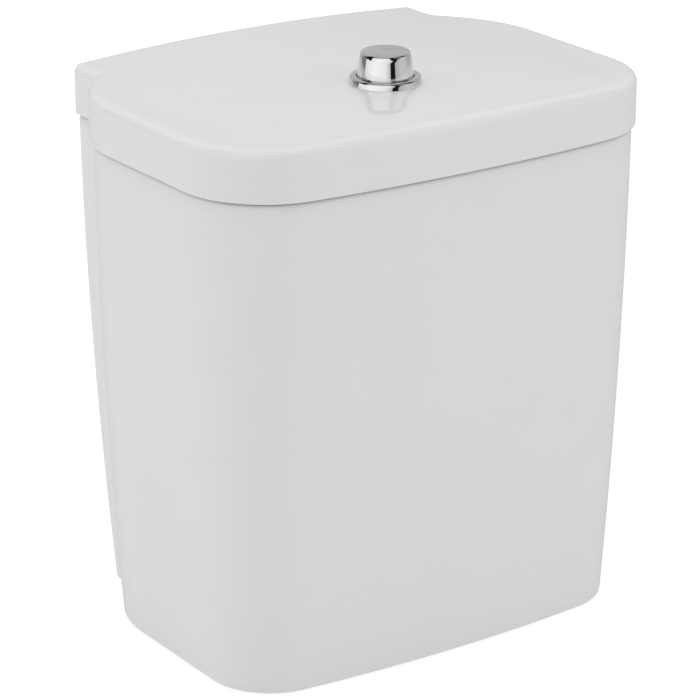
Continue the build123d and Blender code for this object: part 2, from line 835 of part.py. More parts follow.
def rod_clips():
    """The two clips on the rod, below and above the lever's eye."""
    clips = []
    for side in (-1, 1):
        near = rod_eye_z + side * (arm_thickness / 2 + clip_gap)
        far = near + side * clip_height
        low, high = min(near, far), max(near, far)
        clips.append(ring(float_rod_r + clip_width, float_rod_r, low, high, inlet_x, rod_y))
    return Compound(clips)


def fill_outlet_tube():
    """The down tube that fills the tank quietly."""
    top = riser_top + outlet_boss_rise + outlet_boss_height - head_wall
    bottom = floor_top + outlet_tube_rise
    inner_r = outlet_tube_r - outlet_tube_wall
    return ring(outlet_tube_r, inner_r, bottom, top, inlet_x, outlet_offset)


def blanking_plug():
    """The plug that closes the spare inlet hole."""
    bottom = recess_depth - blank_nut_height - blank_tail
    part = rod(inlet_neck_r, bottom, seal_base + overrun, -inlet_x)
    return part + rod(blank_head_r, seal_base, seal_base + blank_head_height, -inlet_x)


def blanking_seal():
    """The washer under the plug's head."""
    return ring(blank_head_r, inlet_neck_r + fit_clearance, floor_top, seal_base, -inlet_x)


def button_bezel():
    """The bright ring round the button, on the lid's flat land."""
    top = button_land + bezel_height
    part = rod(bezel_r, button_land, top)
    part = fillet(part.edges().group_by(Axis.Z)[-1], bezel_edge_r)
    part -= rod(bore_r, button_land - overrun, top + overrun)
    recess_top = button_land + bezel_bore_height
    return part - rod(guide_flange_r + slip_clearance, button_land - overrun, recess_top)


def button_guide():
    """The threaded sleeve through the lid, with a floor that the spring stands on."""
    top = button_land + guide_flange_height
    part = rod(guide_r, guide_bottom, top)
    part += rod(guide_flange_r, button_land, top)
    part -= rod(bore_r, guide_floor_top, top + overrun)
    return part - rod(push_rod_r + rod_hole_clearance, guide_bottom - overrun, top)


def guide_seal():
    """The washer between the lid and the guide's nut."""
    hole_r = guide_r + fit_clearance
    return ring(hole_r + guide_seal_width, hole_r, lid_under - guide_seal_thickness, lid_under)


def guide_nut():
    """The nut that clamps the guide from inside the lid."""
    top = lid_under - guide_seal_thickness
    bottom = top - guide_nut_height
    nut = hexagon(2 * (guide_r + guide_nut_rim), bottom, top)
    return nut - rod(guide_r + fit_clearance, bottom - overrun, top + overrun)


def button_dome():
    """The raised button: a tapered cup with a skirt in the guide and a boss for the rod."""
    cone_bottom = button_land + dome_cone_start
    skirt_bottom = button_land - dome_skirt_drop
    top = button_land + dome_rise
    top_r = dome_base_r - dome_taper
    inner_r = dome_base_r - dome_wall
    cone = Cone(dome_base_r, top_r, top - cone_bottom, align=UPRIGHT)
    cone = fillet(cone.edges().group_by(Axis.Z)[-1], dome_edge_r)
    hollow = Cone(inner_r, top_r - dome_wall, top - cone_bottom - dome_wall, align=UPRIGHT)
    part = Pos(0, 0, cone_bottom) * cone
    part += rod(dome_base_r, skirt_bottom, cone_bottom)
    part -= Pos(0, 0, cone_bottom) * hollow
    part -= rod(inner_r, skirt_bottom - overrun, cone_bottom)
    boss_bottom = button_land - boss_drop
    part += rod(boss_r, boss_bottom, top - dome_wall)
    return part - rod(push_rod_r, boss_bottom - overrun, boss_bottom + rod_grip)


def push_rod():
    """The rod from the button down to the valve's socket, with a wider foot."""
    top = button_land - boss_drop + rod_grip
    part = rod(push_rod_r, rod_bottom, top)
    return part + rod(rod_foot_r, rod_bottom, rod_bottom + rod_foot_height)


def rod_nut():
    """The nut on the rod that stops the button rising out of its guide."""
    top = guide_bottom - contact_gap
    nut = hexagon(2 * (push_rod_r + rod_nut_rim), top - rod_nut_height, top)
    return nut - rod(push_rod_r, top - rod_nut_height - overrun, top + overrun)


def button_spring():
    """The button's return spring, one unbroken coil."""
    rise = spring_height - 2 * spring_wire_r
    pitch = rise / spring_turns
    path = Helix(pitch, rise, spring_r)
    profile = Plane(path @ 0, z_dir=path % 0) * RegularPolygon(spring_wire_r, 8)
    coil = sweep(profile, path)
    print("button_spring least gap between turns", round(pitch - 2 * spring_wire_r, 3), "mm")
    return Pos(0, 0, spring_bottom + spring_wire_r) * coil


def make_parts():
    """Every node by name."""
    return {
        "cistern_tank": cistern_tank(),
        "lid_pads": lid_pads(),
        "cistern_lid": cistern_lid(),
        "flush_valve_base": flush_valve_base(),
        "flush_base_seal": flush_base_seal(),
        "flush_backnut": flush_backnut(),
        "coupling_plate": coupling_plate(),
        "coupling_gasket": coupling_gasket(),
        "valve_tower": valve_tower(),
        "tower_cap": tower_cap(),
        "rocker_pins": rocker_pins(),
        "rocker_right": rocker(1),
        "rocker_left": rocker(-1),
        "valve_plunger": valve_plunger(),
        "overflow_tube": overflow_tube(),
        "flush_seal": flush_seal(),
        "seal_retainer": seal_retainer(),
        "valve_float": valve_float(),
        "lift_collar": lift_collar(),
        "inlet_tail": inlet_tail(),
        "inlet_seal": inlet_seal(),
        "inlet_backnut": flanged_nut(
            2 * (inlet_thread_r + inlet_nut_rim),
            inlet_nut_height,
            inlet_nut_flange_r,
            inlet_nut_flange_height,
            inlet_thread_r + fit_clearance,
            inlet_x,
        ),
        "inlet_filter": inlet_filter(),
        "fill_riser": fill_riser(),
        "fill_valve_head": fill_valve_head(),
        "diaphragm": diaphragm(),
        "fill_valve_cap": fill_valve_cap(),
        "float_arm_pin": float_arm_pin(),
        "float_arm": float_arm(),
        "float_cup": float_cup(),
        "float_rod": float_rod(),
        "rod_clips": rod_clips(),
        "fill_outlet_tube": fill_outlet_tube(),
        "blanking_plug": blanking_plug(),
        "blanking_seal": blanking_seal(),
        "blanking_nut": flanged_nut(
            2 * (inlet_neck_r + blank_nut_rim),
            blank_nut_height,
            inlet_nut_flange_r,
            inlet_nut_flange_height,
            inlet_neck_r + fit_clearance,
            -inlet_x,
        ),
        "button_bezel": button_bezel(),
        "button_guide": button_guide(),
        "guide_seal": guide_seal(),
        "guide_nut": guide_nut(),
        "button_dome": button_dome(),
        "push_rod": push_rod(),
        "rod_nut": rod_nut(),
        "button_spring": button_spring(),
    }


os.makedirs("parts", exist_ok=True)
for name, shape in make_parts().items():
    export_step(shape, f"parts/{name}.step")
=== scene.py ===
"""Looks of a close-coupled toilet cistern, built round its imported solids.

Shapes are drawn in millimetres and brought to metres when a piece is finished.
"""

import json
import math

import bmesh
import bpy
from mathutils import Matrix, Vector


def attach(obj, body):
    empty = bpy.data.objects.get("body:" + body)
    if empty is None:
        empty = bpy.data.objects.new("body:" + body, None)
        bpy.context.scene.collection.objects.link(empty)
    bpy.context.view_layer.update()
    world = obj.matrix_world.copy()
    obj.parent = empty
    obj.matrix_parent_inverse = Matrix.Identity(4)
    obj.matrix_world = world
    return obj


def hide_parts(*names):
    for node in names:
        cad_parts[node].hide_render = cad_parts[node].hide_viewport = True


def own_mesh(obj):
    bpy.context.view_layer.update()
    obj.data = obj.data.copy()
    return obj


bl_info = {
    "name": "Toilet cistern",
    "version": (1, 0, 0),
    "blender": (4, 5, 0),
    "location": "3D View > Sidebar > Cistern",
    "description": "Glazed tank and lid, bright push button and the valves inside",
    "category": "Object",
}

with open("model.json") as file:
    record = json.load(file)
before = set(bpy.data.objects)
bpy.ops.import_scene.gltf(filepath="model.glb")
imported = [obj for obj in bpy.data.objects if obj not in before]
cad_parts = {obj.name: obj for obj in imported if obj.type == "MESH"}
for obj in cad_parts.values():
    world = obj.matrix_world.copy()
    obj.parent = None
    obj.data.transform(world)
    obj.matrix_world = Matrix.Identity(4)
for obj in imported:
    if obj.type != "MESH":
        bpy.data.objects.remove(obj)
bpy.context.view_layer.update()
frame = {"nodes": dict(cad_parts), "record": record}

MM = 0.001
FULL_TURN = 2 * math.pi
WELD = 1e-4
CAD_WELD = 0.002
FLAT_ANGLE = math.radians(1.0)
SHARP_EDGE = math.radians(32.0)
BRIGHT_STEPS = 144
THREAD_STEPS = 36
SINK = 0.2

# Plan of the lid in millimetres, which every ceramic outline is inset from
SHOULDER_STEP = 33.8
SHOULDER_ANGLE = math.radians(45.0)
SHOULDER_R = 95.0
NOTCH_R = 8.0
NOTCH_FROM_WALL = 29.5
FRONT_CORNER_R = 63.0
FRONT_BOW = 13.0
REAR_CORNER_R = 6.5
BODY_CORNER_R = 3.5
WALL_Y = 171.99

# Levels and walls of the ceramic in millimetres
BODY_HEIGHT = 345.5
LID_BOTTOM = 347.0
LID_EDGE = 382.0
LID_UNDER = 372.0
RIM_TOP = 369.0
RECESS_DEPTH = 24.0
FLOOR_TOP = 36.0
NECK_TOP = 347.0
NECK_BOTTOM = 331.5
LEDGE_R = 2.0
RIM_R = 2.4
RECESS_R = 3.5
FLOOR_R = 7.0
BODY_WALL = 10.5
RIM_INSET = 10.5
MOUTH_INSET = 18.5
RECESS_INSET = 27.5
LID_WALL = 8.0
SKIRT_R = 1.0
UNDER_R = 5.0
HOLE_MARGIN = 8.0
HOLE_EDGE = 0.4
LAND_MARGIN = 0.6
CROWN_HEIGHT = 4.8
LEAN_SHARE = 0.21
TOP_INSET = 2.6
BASE_INSET = 15.5
INLET_X = 118.0
FLUSH_HOLE_R = 31.5
INLET_R = 10.48
INLET_HOLE_R = 11.48
FIXING_X = 100.0
FIXING_Z = 300.0
FIXING_R = 4.0

# Crown of the lid: share across and height, then depth from the wall, reach and rise
CROWN_ACROSS = [(0, 1), (0.25, 0.94), (0.5, 0.75), (0.75, 0.4), (0.9, 0.12), (1, 0)]
CROWN_REACH = [(0, 0.8), (0.3, 0.93), (0.6, 0.93), (0.84, 0.9), (1, 0.8)]
CROWN_RISE = [
    (0, 1), (0.3, 0.99), (0.6, 0.86), (0.736, 0.71), (0.83, 0.585), (0.949, 0.375), (0.972, 0.335),
    (1, 0),
]

# Push button in millimetres
LAND_Z = 385.5
LAND_R = 25.3
BLEND_R = 78.0
LID_HOLE_R = 21.4
GUIDE_R = 20.85
SPRING_BOTTOM = 355.3
SPRING_TOP = 383.2
SPRING_R = 8.0
SPRING_WIRE_R = 0.7
BEZEL_BORE_R = 23.1
BEZEL_HEIGHT = 5.2
BEZEL_STEP = 2.8
DOME_HEIGHT = 21.4
DOME_WALL = 1.6
DOME_SKIRT = 4.0
DOME_CONE_START = 6.2
BOSS_R = 10.5
BOSS_DROP = 2.0
ROD_R = 4.0
ROD_TOP = 9.0

# Screw threads as (stem radius, pitch, bottom, top, x)
THREADS = {
    "inlet_tail": [(INLET_R, 1.81, 0.6, 12.7, INLET_X)],
    "blanking_plug": [(INLET_R, 1.81, 12.7, 14.9, -INLET_X)],
    "button_guide": [(GUIDE_R, 1.8, 352.4, 361.8, 0.0)],
    "push_rod": [(ROD_R, 1.25, 322.0, 345.2, 0.0)],
}
# Ribs for the fingers as (radius, count, width, bottom, top, x)
GRIPS = {
    "fill_valve_cap": [(17.95, 30, 1.4, 262.7, 269.3, INLET_X)],
    "float_cup": [(23.7, 8, 1.8, 152.0, 194.0, INLET_X)],
}

# Where the photograph was taken from: turn, rise, distance and aim, in degrees and metres
CAMERA_TURN = -34.57
CAMERA_RISE = 20.24
CAMERA_DISTANCE = 2.3314
CAMERA_AIM = (0.03235, 0.087, 0.16262)
FOCAL_PIXELS = 3268.28
PICTURE_PIXELS = 700
SENSOR_WIDTH = 36.0
PICTURE_CENTRE = (351.07, 350.08)


# Sizes and colours that a user would change


class CeramicSettings(bpy.types.PropertyGroup):
    """Sizes and glaze of the tank and its lid."""

    lid_width: bpy.props.FloatProperty(
        name="Lid width", description="Across the lid", default=0.350, unit="LENGTH"
    )
    lid_depth: bpy.props.FloatProperty(
        name="Lid depth", description="From the wall to the front", default=0.2675, unit="LENGTH"
    )
    lid_edge_r: bpy.props.FloatProperty(
        name="Lid edge", description="Rounding of the lid's top edge", default=0.006, unit="LENGTH"
    )
    base_edge_r: bpy.props.FloatProperty(
        name="Base edge", description="Rounding of the tank's base", default=0.003, unit="LENGTH"
    )
    glaze: bpy.props.FloatVectorProperty(
        name="Glaze", description="Colour of the glaze", default=(0.735, 0.735, 0.732),
        subtype="COLOR",
    )
    biscuit: bpy.props.FloatVectorProperty(
        name="Biscuit", description="Unglazed clay on the foot", default=(0.66, 0.62, 0.55),
        subtype="COLOR",
    )
    glaze_roughness: bpy.props.FloatProperty(
        name="Glaze roughness", description="How matt the glaze is", default=0.015, subtype="FACTOR"
    )


class ButtonSettings(bpy.types.PropertyGroup):
    """Sizes and plating of the push button."""

    dome_base_r: bpy.props.FloatProperty(
        name="Dome radius", description="At the foot of the dome", default=0.019, unit="LENGTH"
    )
    dome_top_r: bpy.props.FloatProperty(
        name="Dome top radius", description="At the top of the dome", default=0.0169, unit="LENGTH"
    )
    ring_r: bpy.props.FloatProperty(
        name="Ring radius", description="At the foot of the ring", default=0.0247, unit="LENGTH"
    )
    plating: bpy.props.FloatVectorProperty(
        name="Plating", description="Colour of the plating", default=(0.80, 0.80, 0.81),
        subtype="COLOR",
    )
    spring_turns: bpy.props.IntProperty(
        name="Spring turns", description="Turns of the return spring", default=6
    )


class ValveSettings(bpy.types.PropertyGroup):
    """Edges and plastics of the valves inside the tank."""

    moulded_edge: bpy.props.FloatProperty(
        name="Moulded edge", description="Rounding of plastic edges", default=0.0004, unit="LENGTH"
    )
    white: bpy.props.FloatVectorProperty(
        name="White plastic", description="Valve bodies", default=(0.78, 0.78, 0.75),
        subtype="COLOR",
    )
    grey: bpy.props.FloatVectorProperty(
        name="Grey plastic", description="Levers and nuts", default=(0.40, 0.42, 0.44),
        subtype="COLOR",
    )
    blue: bpy.props.FloatVectorProperty(
        name="Blue plastic", description="Float and rockers", default=(0.09, 0.26, 0.50),
        subtype="COLOR",
    )


class StudioSettings(bpy.types.PropertyGroup):
    """Light on the object."""

    surround: bpy.props.FloatProperty(
        name="Surround", description="Even light from all round", default=0.48
    )
    ceiling: bpy.props.FloatProperty(
        name="Ceiling", description="Even light from overhead", default=2.16
    )
    front: bpy.props.FloatProperty(
        name="Front", description="Watts of the front lamp", default=8.8, unit="POWER"
    )
    side: bpy.props.FloatProperty(
        name="Side", description="Watts of the side lamp", default=14.0, unit="POWER"
    )


# Materials


def start_material(name):
    """A new node material with its shader, and the object's own coordinates."""
    material = bpy.data.materials.new(name)
    material.use_nodes = True
    tree = material.node_tree
    shader = tree.nodes["Principled BSDF"]
    place = tree.nodes.new("ShaderNodeTexCoord")
    return material, tree, shader, place.outputs["Object"]


def speckle(tree, place, size, detail=3.0, stretch=(1, 1, 1)):
    """Noise whose features are about size millimetres across."""
    mapping = tree.nodes.new("ShaderNodeMapping")
    mapping.inputs["Scale"].default_value = stretch
    tree.links.new(place, mapping.inputs["Vector"])
    noise = tree.nodes.new("ShaderNodeTexNoise")
    noise.inputs["Scale"].default_value = 1 / (size * MM)
    noise.inputs["Detail"].default_value = detail
    tree.links.new(mapping.outputs["Vector"], noise.inputs["Vector"])
    return noise.outputs["Fac"]


def reckon(tree, operation, *terms):
    """One step of arithmetic on links and numbers."""
    step = tree.nodes.new("ShaderNodeMath")
    step.operation = operation
    for socket, term in zip(step.inputs, terms):
        if isinstance(term, bpy.types.NodeSocket):
            tree.links.new(term, socket)
        else:
            socket.default_value = term
    return step.outputs["Value"]


def between(tree, share, low, high, start=0.3, end=0.7):
    """A number that runs from low to high as the share goes from start to end."""
    spread = tree.nodes.new("ShaderNodeMapRange")
    spread.inputs["From Min"].default_value = start
    spread.inputs["From Max"].default_value = end
    spread.inputs["To Min"].default_value = low
    spread.inputs["To Max"].default_value = high
    tree.links.new(share, spread.inputs["Value"])
    return spread.outputs["Result"]


def tinted(tree, share, first, second):
    """A colour between two, by a share that may be a link."""
    mix = tree.nodes.new("ShaderNodeMix")
    mix.data_type = "RGBA"
    for socket, colour in ((mix.inputs["A"], first), (mix.inputs["B"], second)):
        if isinstance(colour, bpy.types.NodeSocket):
            tree.links.new(colour, socket)
        else:
            socket.default_value = (*colour, 1)
    tree.links.new(share, mix.inputs["Factor"])
    return mix.outputs["Result"]


def scaled(colour, factor):
    """A colour made lighter or darker by a factor."""
    return tuple(min(1.0, channel * factor) for channel in colour)


def raise_bumps(tree, shader, heights):
    """Bumps from several height links, each with its depth in millimetres."""
    normal = None
    for height, depth in heights:
        bump = tree.nodes.new("ShaderNodeBump")
        bump.inputs["Strength"].default_value = 1.0
        bump.inputs["Distance"].default_value = depth * MM
        tree.links.new(height, bump.inputs["Height"])
        if normal:
            tree.links.new(normal, bump.inputs["Normal"])
        normal = bump.outputs["Normal"]
    tree.links.new(normal, shader.inputs["Normal"])


def paint(material, colour):
    """The plain colour that a material shows outside a render."""
    material.diffuse_color = (*colour, 1)


def glazed_ceramic(settings):
    """White glaze with a faint ripple and tiny pinholes, and bare clay where the foot stands."""
    material, tree, shader, place = start_material("glazed_ceramic")
    glaze = tuple(settings.glaze)
    pooled = speckle(tree, place, 60, detail=2)
    colour = tinted(tree, between(tree, pooled, 0, 1), scaled(glaze, 0.994), scaled(glaze, 1.006))
    pinholes = between(tree, speckle(tree, place, 1.6, detail=2), 0, 1, start=0.76, end=0.80)
    colour = tinted(tree, pinholes, colour, scaled(glaze, 0.82))
    split = tree.nodes.new("ShaderNodeSeparateXYZ")
    tree.links.new(place, split.inputs["Vector"])
    wander = reckon(tree, "MULTIPLY_ADD", speckle(tree, place, 5), 0.0012, split.outputs["Z"])
    bare = between(tree, wander, 1, 0, start=0.0008, end=0.0011)
    colour = tinted(tree, bare, colour, tuple(settings.biscuit))
    tree.links.new(colour, shader.inputs["Base Color"])
    low = settings.glaze_roughness
    gloss = between(tree, speckle(tree, place, 25), low, low + 0.02)
    matt_foot = reckon(tree, "MULTIPLY_ADD", bare, 0.6, gloss)
    tree.links.new(matt_foot, shader.inputs["Roughness"])
    ripple, orange_peel = speckle(tree, place, 40, detail=1), speckle(tree, place, 2.5, detail=2)
    raise_bumps(tree, shader, [(ripple, 0.02), (orange_peel, 0.0006)])
    paint(material, glaze)
    return material


def bright_plating(settings):
    """Polished plating with faint smears and hairline wiping marks."""
    material, tree, shader, place = start_material("chrome")
    plating = tuple(settings.plating)
    smears = speckle(tree, place, 9, detail=4)
    colour = tinted(tree, between(tree, smears, 0, 1), scaled(plating, 0.97), scaled(plating, 1.02))
    tree.links.new(colour, shader.inputs["Base Color"])
    shader.inputs["Metallic"].default_value = 1.0
    wiping = speckle(tree, place, 1.5, detail=2, stretch=(1, 1, 6))
    gloss = between(tree, smears, 0.02, 0.07, start=0.35, end=0.8)
    tree.links.new(gloss, shader.inputs["Roughness"])
    raise_bumps(tree, shader, [(wiping, 0.0006)])
    paint(material, plating)
    return material


def moulded_plastic(name, colour, roughness=0.36):
    """Satin moulded plastic with a fine grain, slight mottling and scuffed patches."""
    material, tree, shader, place = start_material(name)
    mottle = speckle(tree, place, 11, detail=4)
    base = tinted(tree, between(tree, mottle, 0, 1), scaled(colour, 0.93), scaled(colour, 1.06))
    rubbed = speckle(tree, place, 3, detail=5, stretch=(1, 1, 3))
    scuffs = between(tree, rubbed, 0, 0.5, start=0.62, end=0.78)
    base = tinted(tree, scuffs, base, scaled(colour, 0.8 if sum(colour) > 1.5 else 1.5))
    tree.links.new(base, shader.inputs["Base Color"])
    gloss = between(tree, speckle(tree, place, 6), roughness - 0.06, roughness + 0.12)
    tree.links.new(gloss, shader.inputs["Roughness"])
    raise_bumps(tree, shader, [(speckle(tree, place, 0.7, detail=2), 0.015), (mottle, 0.03)])
    paint(material, colour)
    return material


def cellular_foam():
    """Closed-cell foam: pale, matt and pitted, with painted shade darkening the middle of each pit.
    """
    material, tree, shader, place = start_material("foam")
    colour = (0.80, 0.80, 0.76)
    cells = tree.nodes.new("ShaderNodeTexVoronoi")
    cells.inputs["Scale"].default_value = 1 / (1.4 * MM)
    tree.links.new(place, cells.inputs["Vector"])
    pit_depth_and_shade = between(tree, cells.outputs["Distance"], 0, 1, start=0.05, end=0.5)
    # Painted shade: the colour darkens towards the middle of each pit, where the bump sinks.
    base = tinted(tree, pit_depth_and_shade, scaled(colour, 0.72), colour)
    base = tinted(tree, between(tree, speckle(tree, place, 12), 0, 0.35), base, (0.74, 0.70, 0.60))
    tree.links.new(base, shader.inputs["Base Color"])
    tree.links.new(between(tree, pit_depth_and_shade, 0.95, 0.75, start=0, end=1), shader.inputs["Roughness"])
    raise_bumps(tree, shader, [(pit_depth_and_shade, 0.12)])
    paint(material, colour)
    return material


def matt_rubber():
    """Black rubber with a dusty bloom and a fine moulded skin."""
    material, tree, shader, place = start_material("black_rubber")
    colour = (0.035, 0.035, 0.036)
    bloom = between(tree, speckle(tree, place, 7, detail=5), 0, 0.6, start=0.45, end=0.75)
    base = tinted(tree, bloom, colour, (0.10, 0.10, 0.098))
    tree.links.new(base, shader.inputs["Base Color"])
    tree.links.new(between(tree, bloom, 0.55, 0.85, start=0, end=0.6), shader.inputs["Roughness"])
    raise_bumps(tree, shader, [(speckle(tree, place, 0.6, detail=3), 0.03)])
    paint(material, colour)
    return material


def drawn_steel():
    """Bright steel with lengthwise drawing marks and dull spots."""
    material, tree, shader, place = start_material("steel")
    colour = (0.58, 0.58, 0.57)
    grain = speckle(tree, place, 0.8, detail=3, stretch=(0.05, 1, 1))
    base = tinted(tree, between(tree, grain, 0, 1), scaled(colour, 0.85), scaled(colour, 1.1))
    dull = between(tree, speckle(tree, place, 6, detail=5), 0, 0.7, start=0.58, end=0.74)
    base = tinted(tree, dull, base, (0.40, 0.38, 0.35))
    tree.links.new(base, shader.inputs["Base Color"])
    shader.inputs["Metallic"].default_value = 1.0
    tree.links.new(between(tree, grain, 0.24, 0.42), shader.inputs["Roughness"])
    raise_bumps(tree, shader, [(grain, 0.006)])
    paint(material, colour)
    return material


# Mesh tools


def weld(bm):
    """Joins doubled points and turns every face outwards."""
    bmesh.ops.remove_doubles(bm, verts=bm.verts, dist=WELD)
    bmesh.ops.recalc_face_normals(bm, faces=bm.faces)


def finish_piece(bm, name, material, body, nodes, sharp_degrees=35.0):
    """Brings a mesh in millimetres to metres, links it, and hands it to its body."""
    bmesh.ops.scale(bm, vec=(MM, MM, MM), verts=bm.verts)
    mesh = bpy.data.meshes.new(name)
    bm.to_mesh(mesh)
    bm.free()
    mesh.shade_smooth()
    mesh.set_sharp_from_angle(angle=math.radians(sharp_degrees))
    mesh.materials.append(material)
    piece = bpy.data.objects.new(name, mesh)
    bpy.context.scene.collection.objects.link(piece)
    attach(piece, body)
    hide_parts(*nodes)
    return piece


def turn_profile(bm, points, steps):
    """Turns a closed profile of (radius, level, rounding) points about an upright axis."""
    ring = [bm.verts.new((r, 0, z)) for r, z, _ in points]
    for a, b in zip(ring, ring[1:] + ring[:1]):
        bm.edges.new((a, b))
    for corner, (_, _, radius) in zip(ring, points):
        if radius:
            bmesh.ops.bevel(
                bm, geom=[corner], offset=radius, offset_type="OFFSET", affect="VERTICES",
                segments=5, profile=0.5, material=-1, clamp_overlap=False,
            )
    bmesh.ops.spin(
        bm, geom=bm.verts[:] + bm.edges[:], cent=(0, 0, 0), axis=(0, 0, 1), dvec=(0, 0, 0),
        angle=FULL_TURN, steps=steps, use_merge=True, use_duplicate=False,
    )


def bright_piece(name, points, material, body, node):
    """A plated piece that is one turned profile."""
    bm = bmesh.new()
    turn_profile(bm, points, BRIGHT_STEPS)
    weld(bm)
    return finish_piece(bm, name, material, body, [node])


def thread_ridge(bm, radius, pitch, bottom, top, x):
    """A screw thread's ridge round a plain stem of a given radius."""
    height, foot, crest = pitch * 0.28, pitch * 0.36, pitch * 0.08
    turns = (top - bottom - 2 * foot) / pitch
    steps = max(8, round(turns * THREAD_STEPS))
    root, tip = radius - SINK, radius + height
    corners = [(root, -foot), (tip, -crest), (tip, crest), (root, foot)]
    ridge = bm.faces.new([bm.verts.new((x + r, 0, bottom + foot + z)) for r, z in corners])
    bmesh.ops.spin(
        bm, geom=[ridge], cent=(x, 0, 0), axis=(0, 0, 1), dvec=(0, 0, turns * pitch / steps),
        angle=turns * FULL_TURN, steps=steps, use_duplicate=False,
    )


def grip_ribs(bm, radius, count, width, bottom, top, x):
    """Upright rounded ribs for the fingers round a cap."""
    for i in range(count):
        made = bmesh.ops.create_cone(
            bm, cap_ends=True, segments=10, radius1=width / 2, radius2=width / 2 - 0.1,
            depth=top - bottom,
        )
        turn = Matrix.Rotation(i * FULL_TURN / count, 3, "Z")
        place = turn @ Vector((radius, 0, 0)) + Vector((x, 0, (bottom + top) / 2))
        bmesh.ops.translate(bm, verts=made["verts"], vec=place)


def cad_copy(node):
    """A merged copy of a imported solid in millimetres, its flat faces joined up."""
    bm = bmesh.new()
    bm.from_mesh(frame["nodes"][node].data)
    bmesh.ops.scale(bm, vec=(1 / MM,) * 3, verts=bm.verts)
    bmesh.ops.remove_doubles(bm, verts=bm.verts, dist=CAD_WELD)
    bmesh.ops.dissolve_limit(
        bm, angle_limit=FLAT_ANGLE, verts=bm.verts, edges=bm.edges,
        use_dissolve_boundaries=False, delimit={"NORMAL"},
    )
    return bm


def soften_edges(bm, width):
    """Rounds every sharp edge of a moulded or machined piece."""
    sharp = [
        e for e in bm.edges
        if len(e.link_faces) == 2 and e.calc_face_angle() > SHARP_EDGE
    ]
    if sharp:
        bmesh.ops.bevel(
            bm, geom=sharp, offset=width, offset_type="OFFSET", affect="EDGES",
            segments=2, profile=0.5, material=-1, clamp_overlap=True,
        )


def softened_piece(node, material, body, width):
    """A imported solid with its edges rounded, and the threads and ribs that it has."""
    bm = cad_copy(node)
    soften_edges(bm, width)
    for radius, pitch, bottom, top, x in THREADS.get(node, []):
        thread_ridge(bm, radius, pitch, bottom, top, x)
    for radius, count, rib, bottom, top, x in GRIPS.get(node, []):
        grip_ribs(bm, radius, count, rib, bottom, top, x)
    bmesh.ops.recalc_face_normals(bm, faces=bm.faces)
    return finish_piece(bm, node + "_moulded", material, body, [node], 40.0)


# Ceramic


def smooth_between(stations, where):
    """A value between stations of (place, value), eased with a cubic through them."""
    if where <= stations[0][0]:
        return stations[0][1]
    for i in range(len(stations) - 1):
        (x0, y0), (x1, y1) = stations[i], stations[i + 1]
        if where <= x1:
            xa, ya = stations[i - 1] if i > 0 else (x0, y0)
            xb, yb = stations[i + 2] if i + 2 < len(stations) else (x1, y1)
            m0 = (y1 - ya) / (x1 - xa) * (x1 - x0) if i > 0 else 0.0
            m1 = (yb - y0) / (xb - x0) * (x1 - x0) if i + 2 < len(stations) else 0.0
            t = (where - x0) / (x1 - x0)
            a, b = 2 * t**3 - 3 * t**2 + 1, t**3 - 2 * t**2 + t
            c, d = -2 * t**3 + 3 * t**2, t**3 - t**2
            return a * y0 + b * m0 + c * y1 + d * m1
    return stations[-1][1]


def crown_level(ceramic, x, y):
    """The lid's top at a place in plan, without its edge rounding, level round the button."""
    depth = ceramic.lid_depth / MM
    back_share = min(1.0, max(0.0, (WALL_Y - y) / depth))
    reach = ceramic.lid_width / MM / 2 * smooth_between(CROWN_REACH, back_share)
    across = min(1.0, abs(x) / reach)
    rise = CROWN_HEIGHT * smooth_between(CROWN_RISE, back_share)
    crown = LID_EDGE + rise * smooth_between(CROWN_ACROSS, across)
    away = min(1.0, max(0.0, (math.hypot(x, y) - LAND_R) / (BLEND_R - LAND_R)))
    return LAND_Z + (crown - LAND_Z) * away**2 * (3 - 2 * away)


def body_inset(level):
    """How far the barrel-shaped body stands in from the lid's outline at a level."""
    depth_share = (BODY_HEIGHT - level) / BODY_HEIGHT
    curve = LEAN_SHARE * depth_share + (1 - LEAN_SHARE) * depth_share**2
    return TOP_INSET + (BASE_INSET - TOP_INSET) * curve


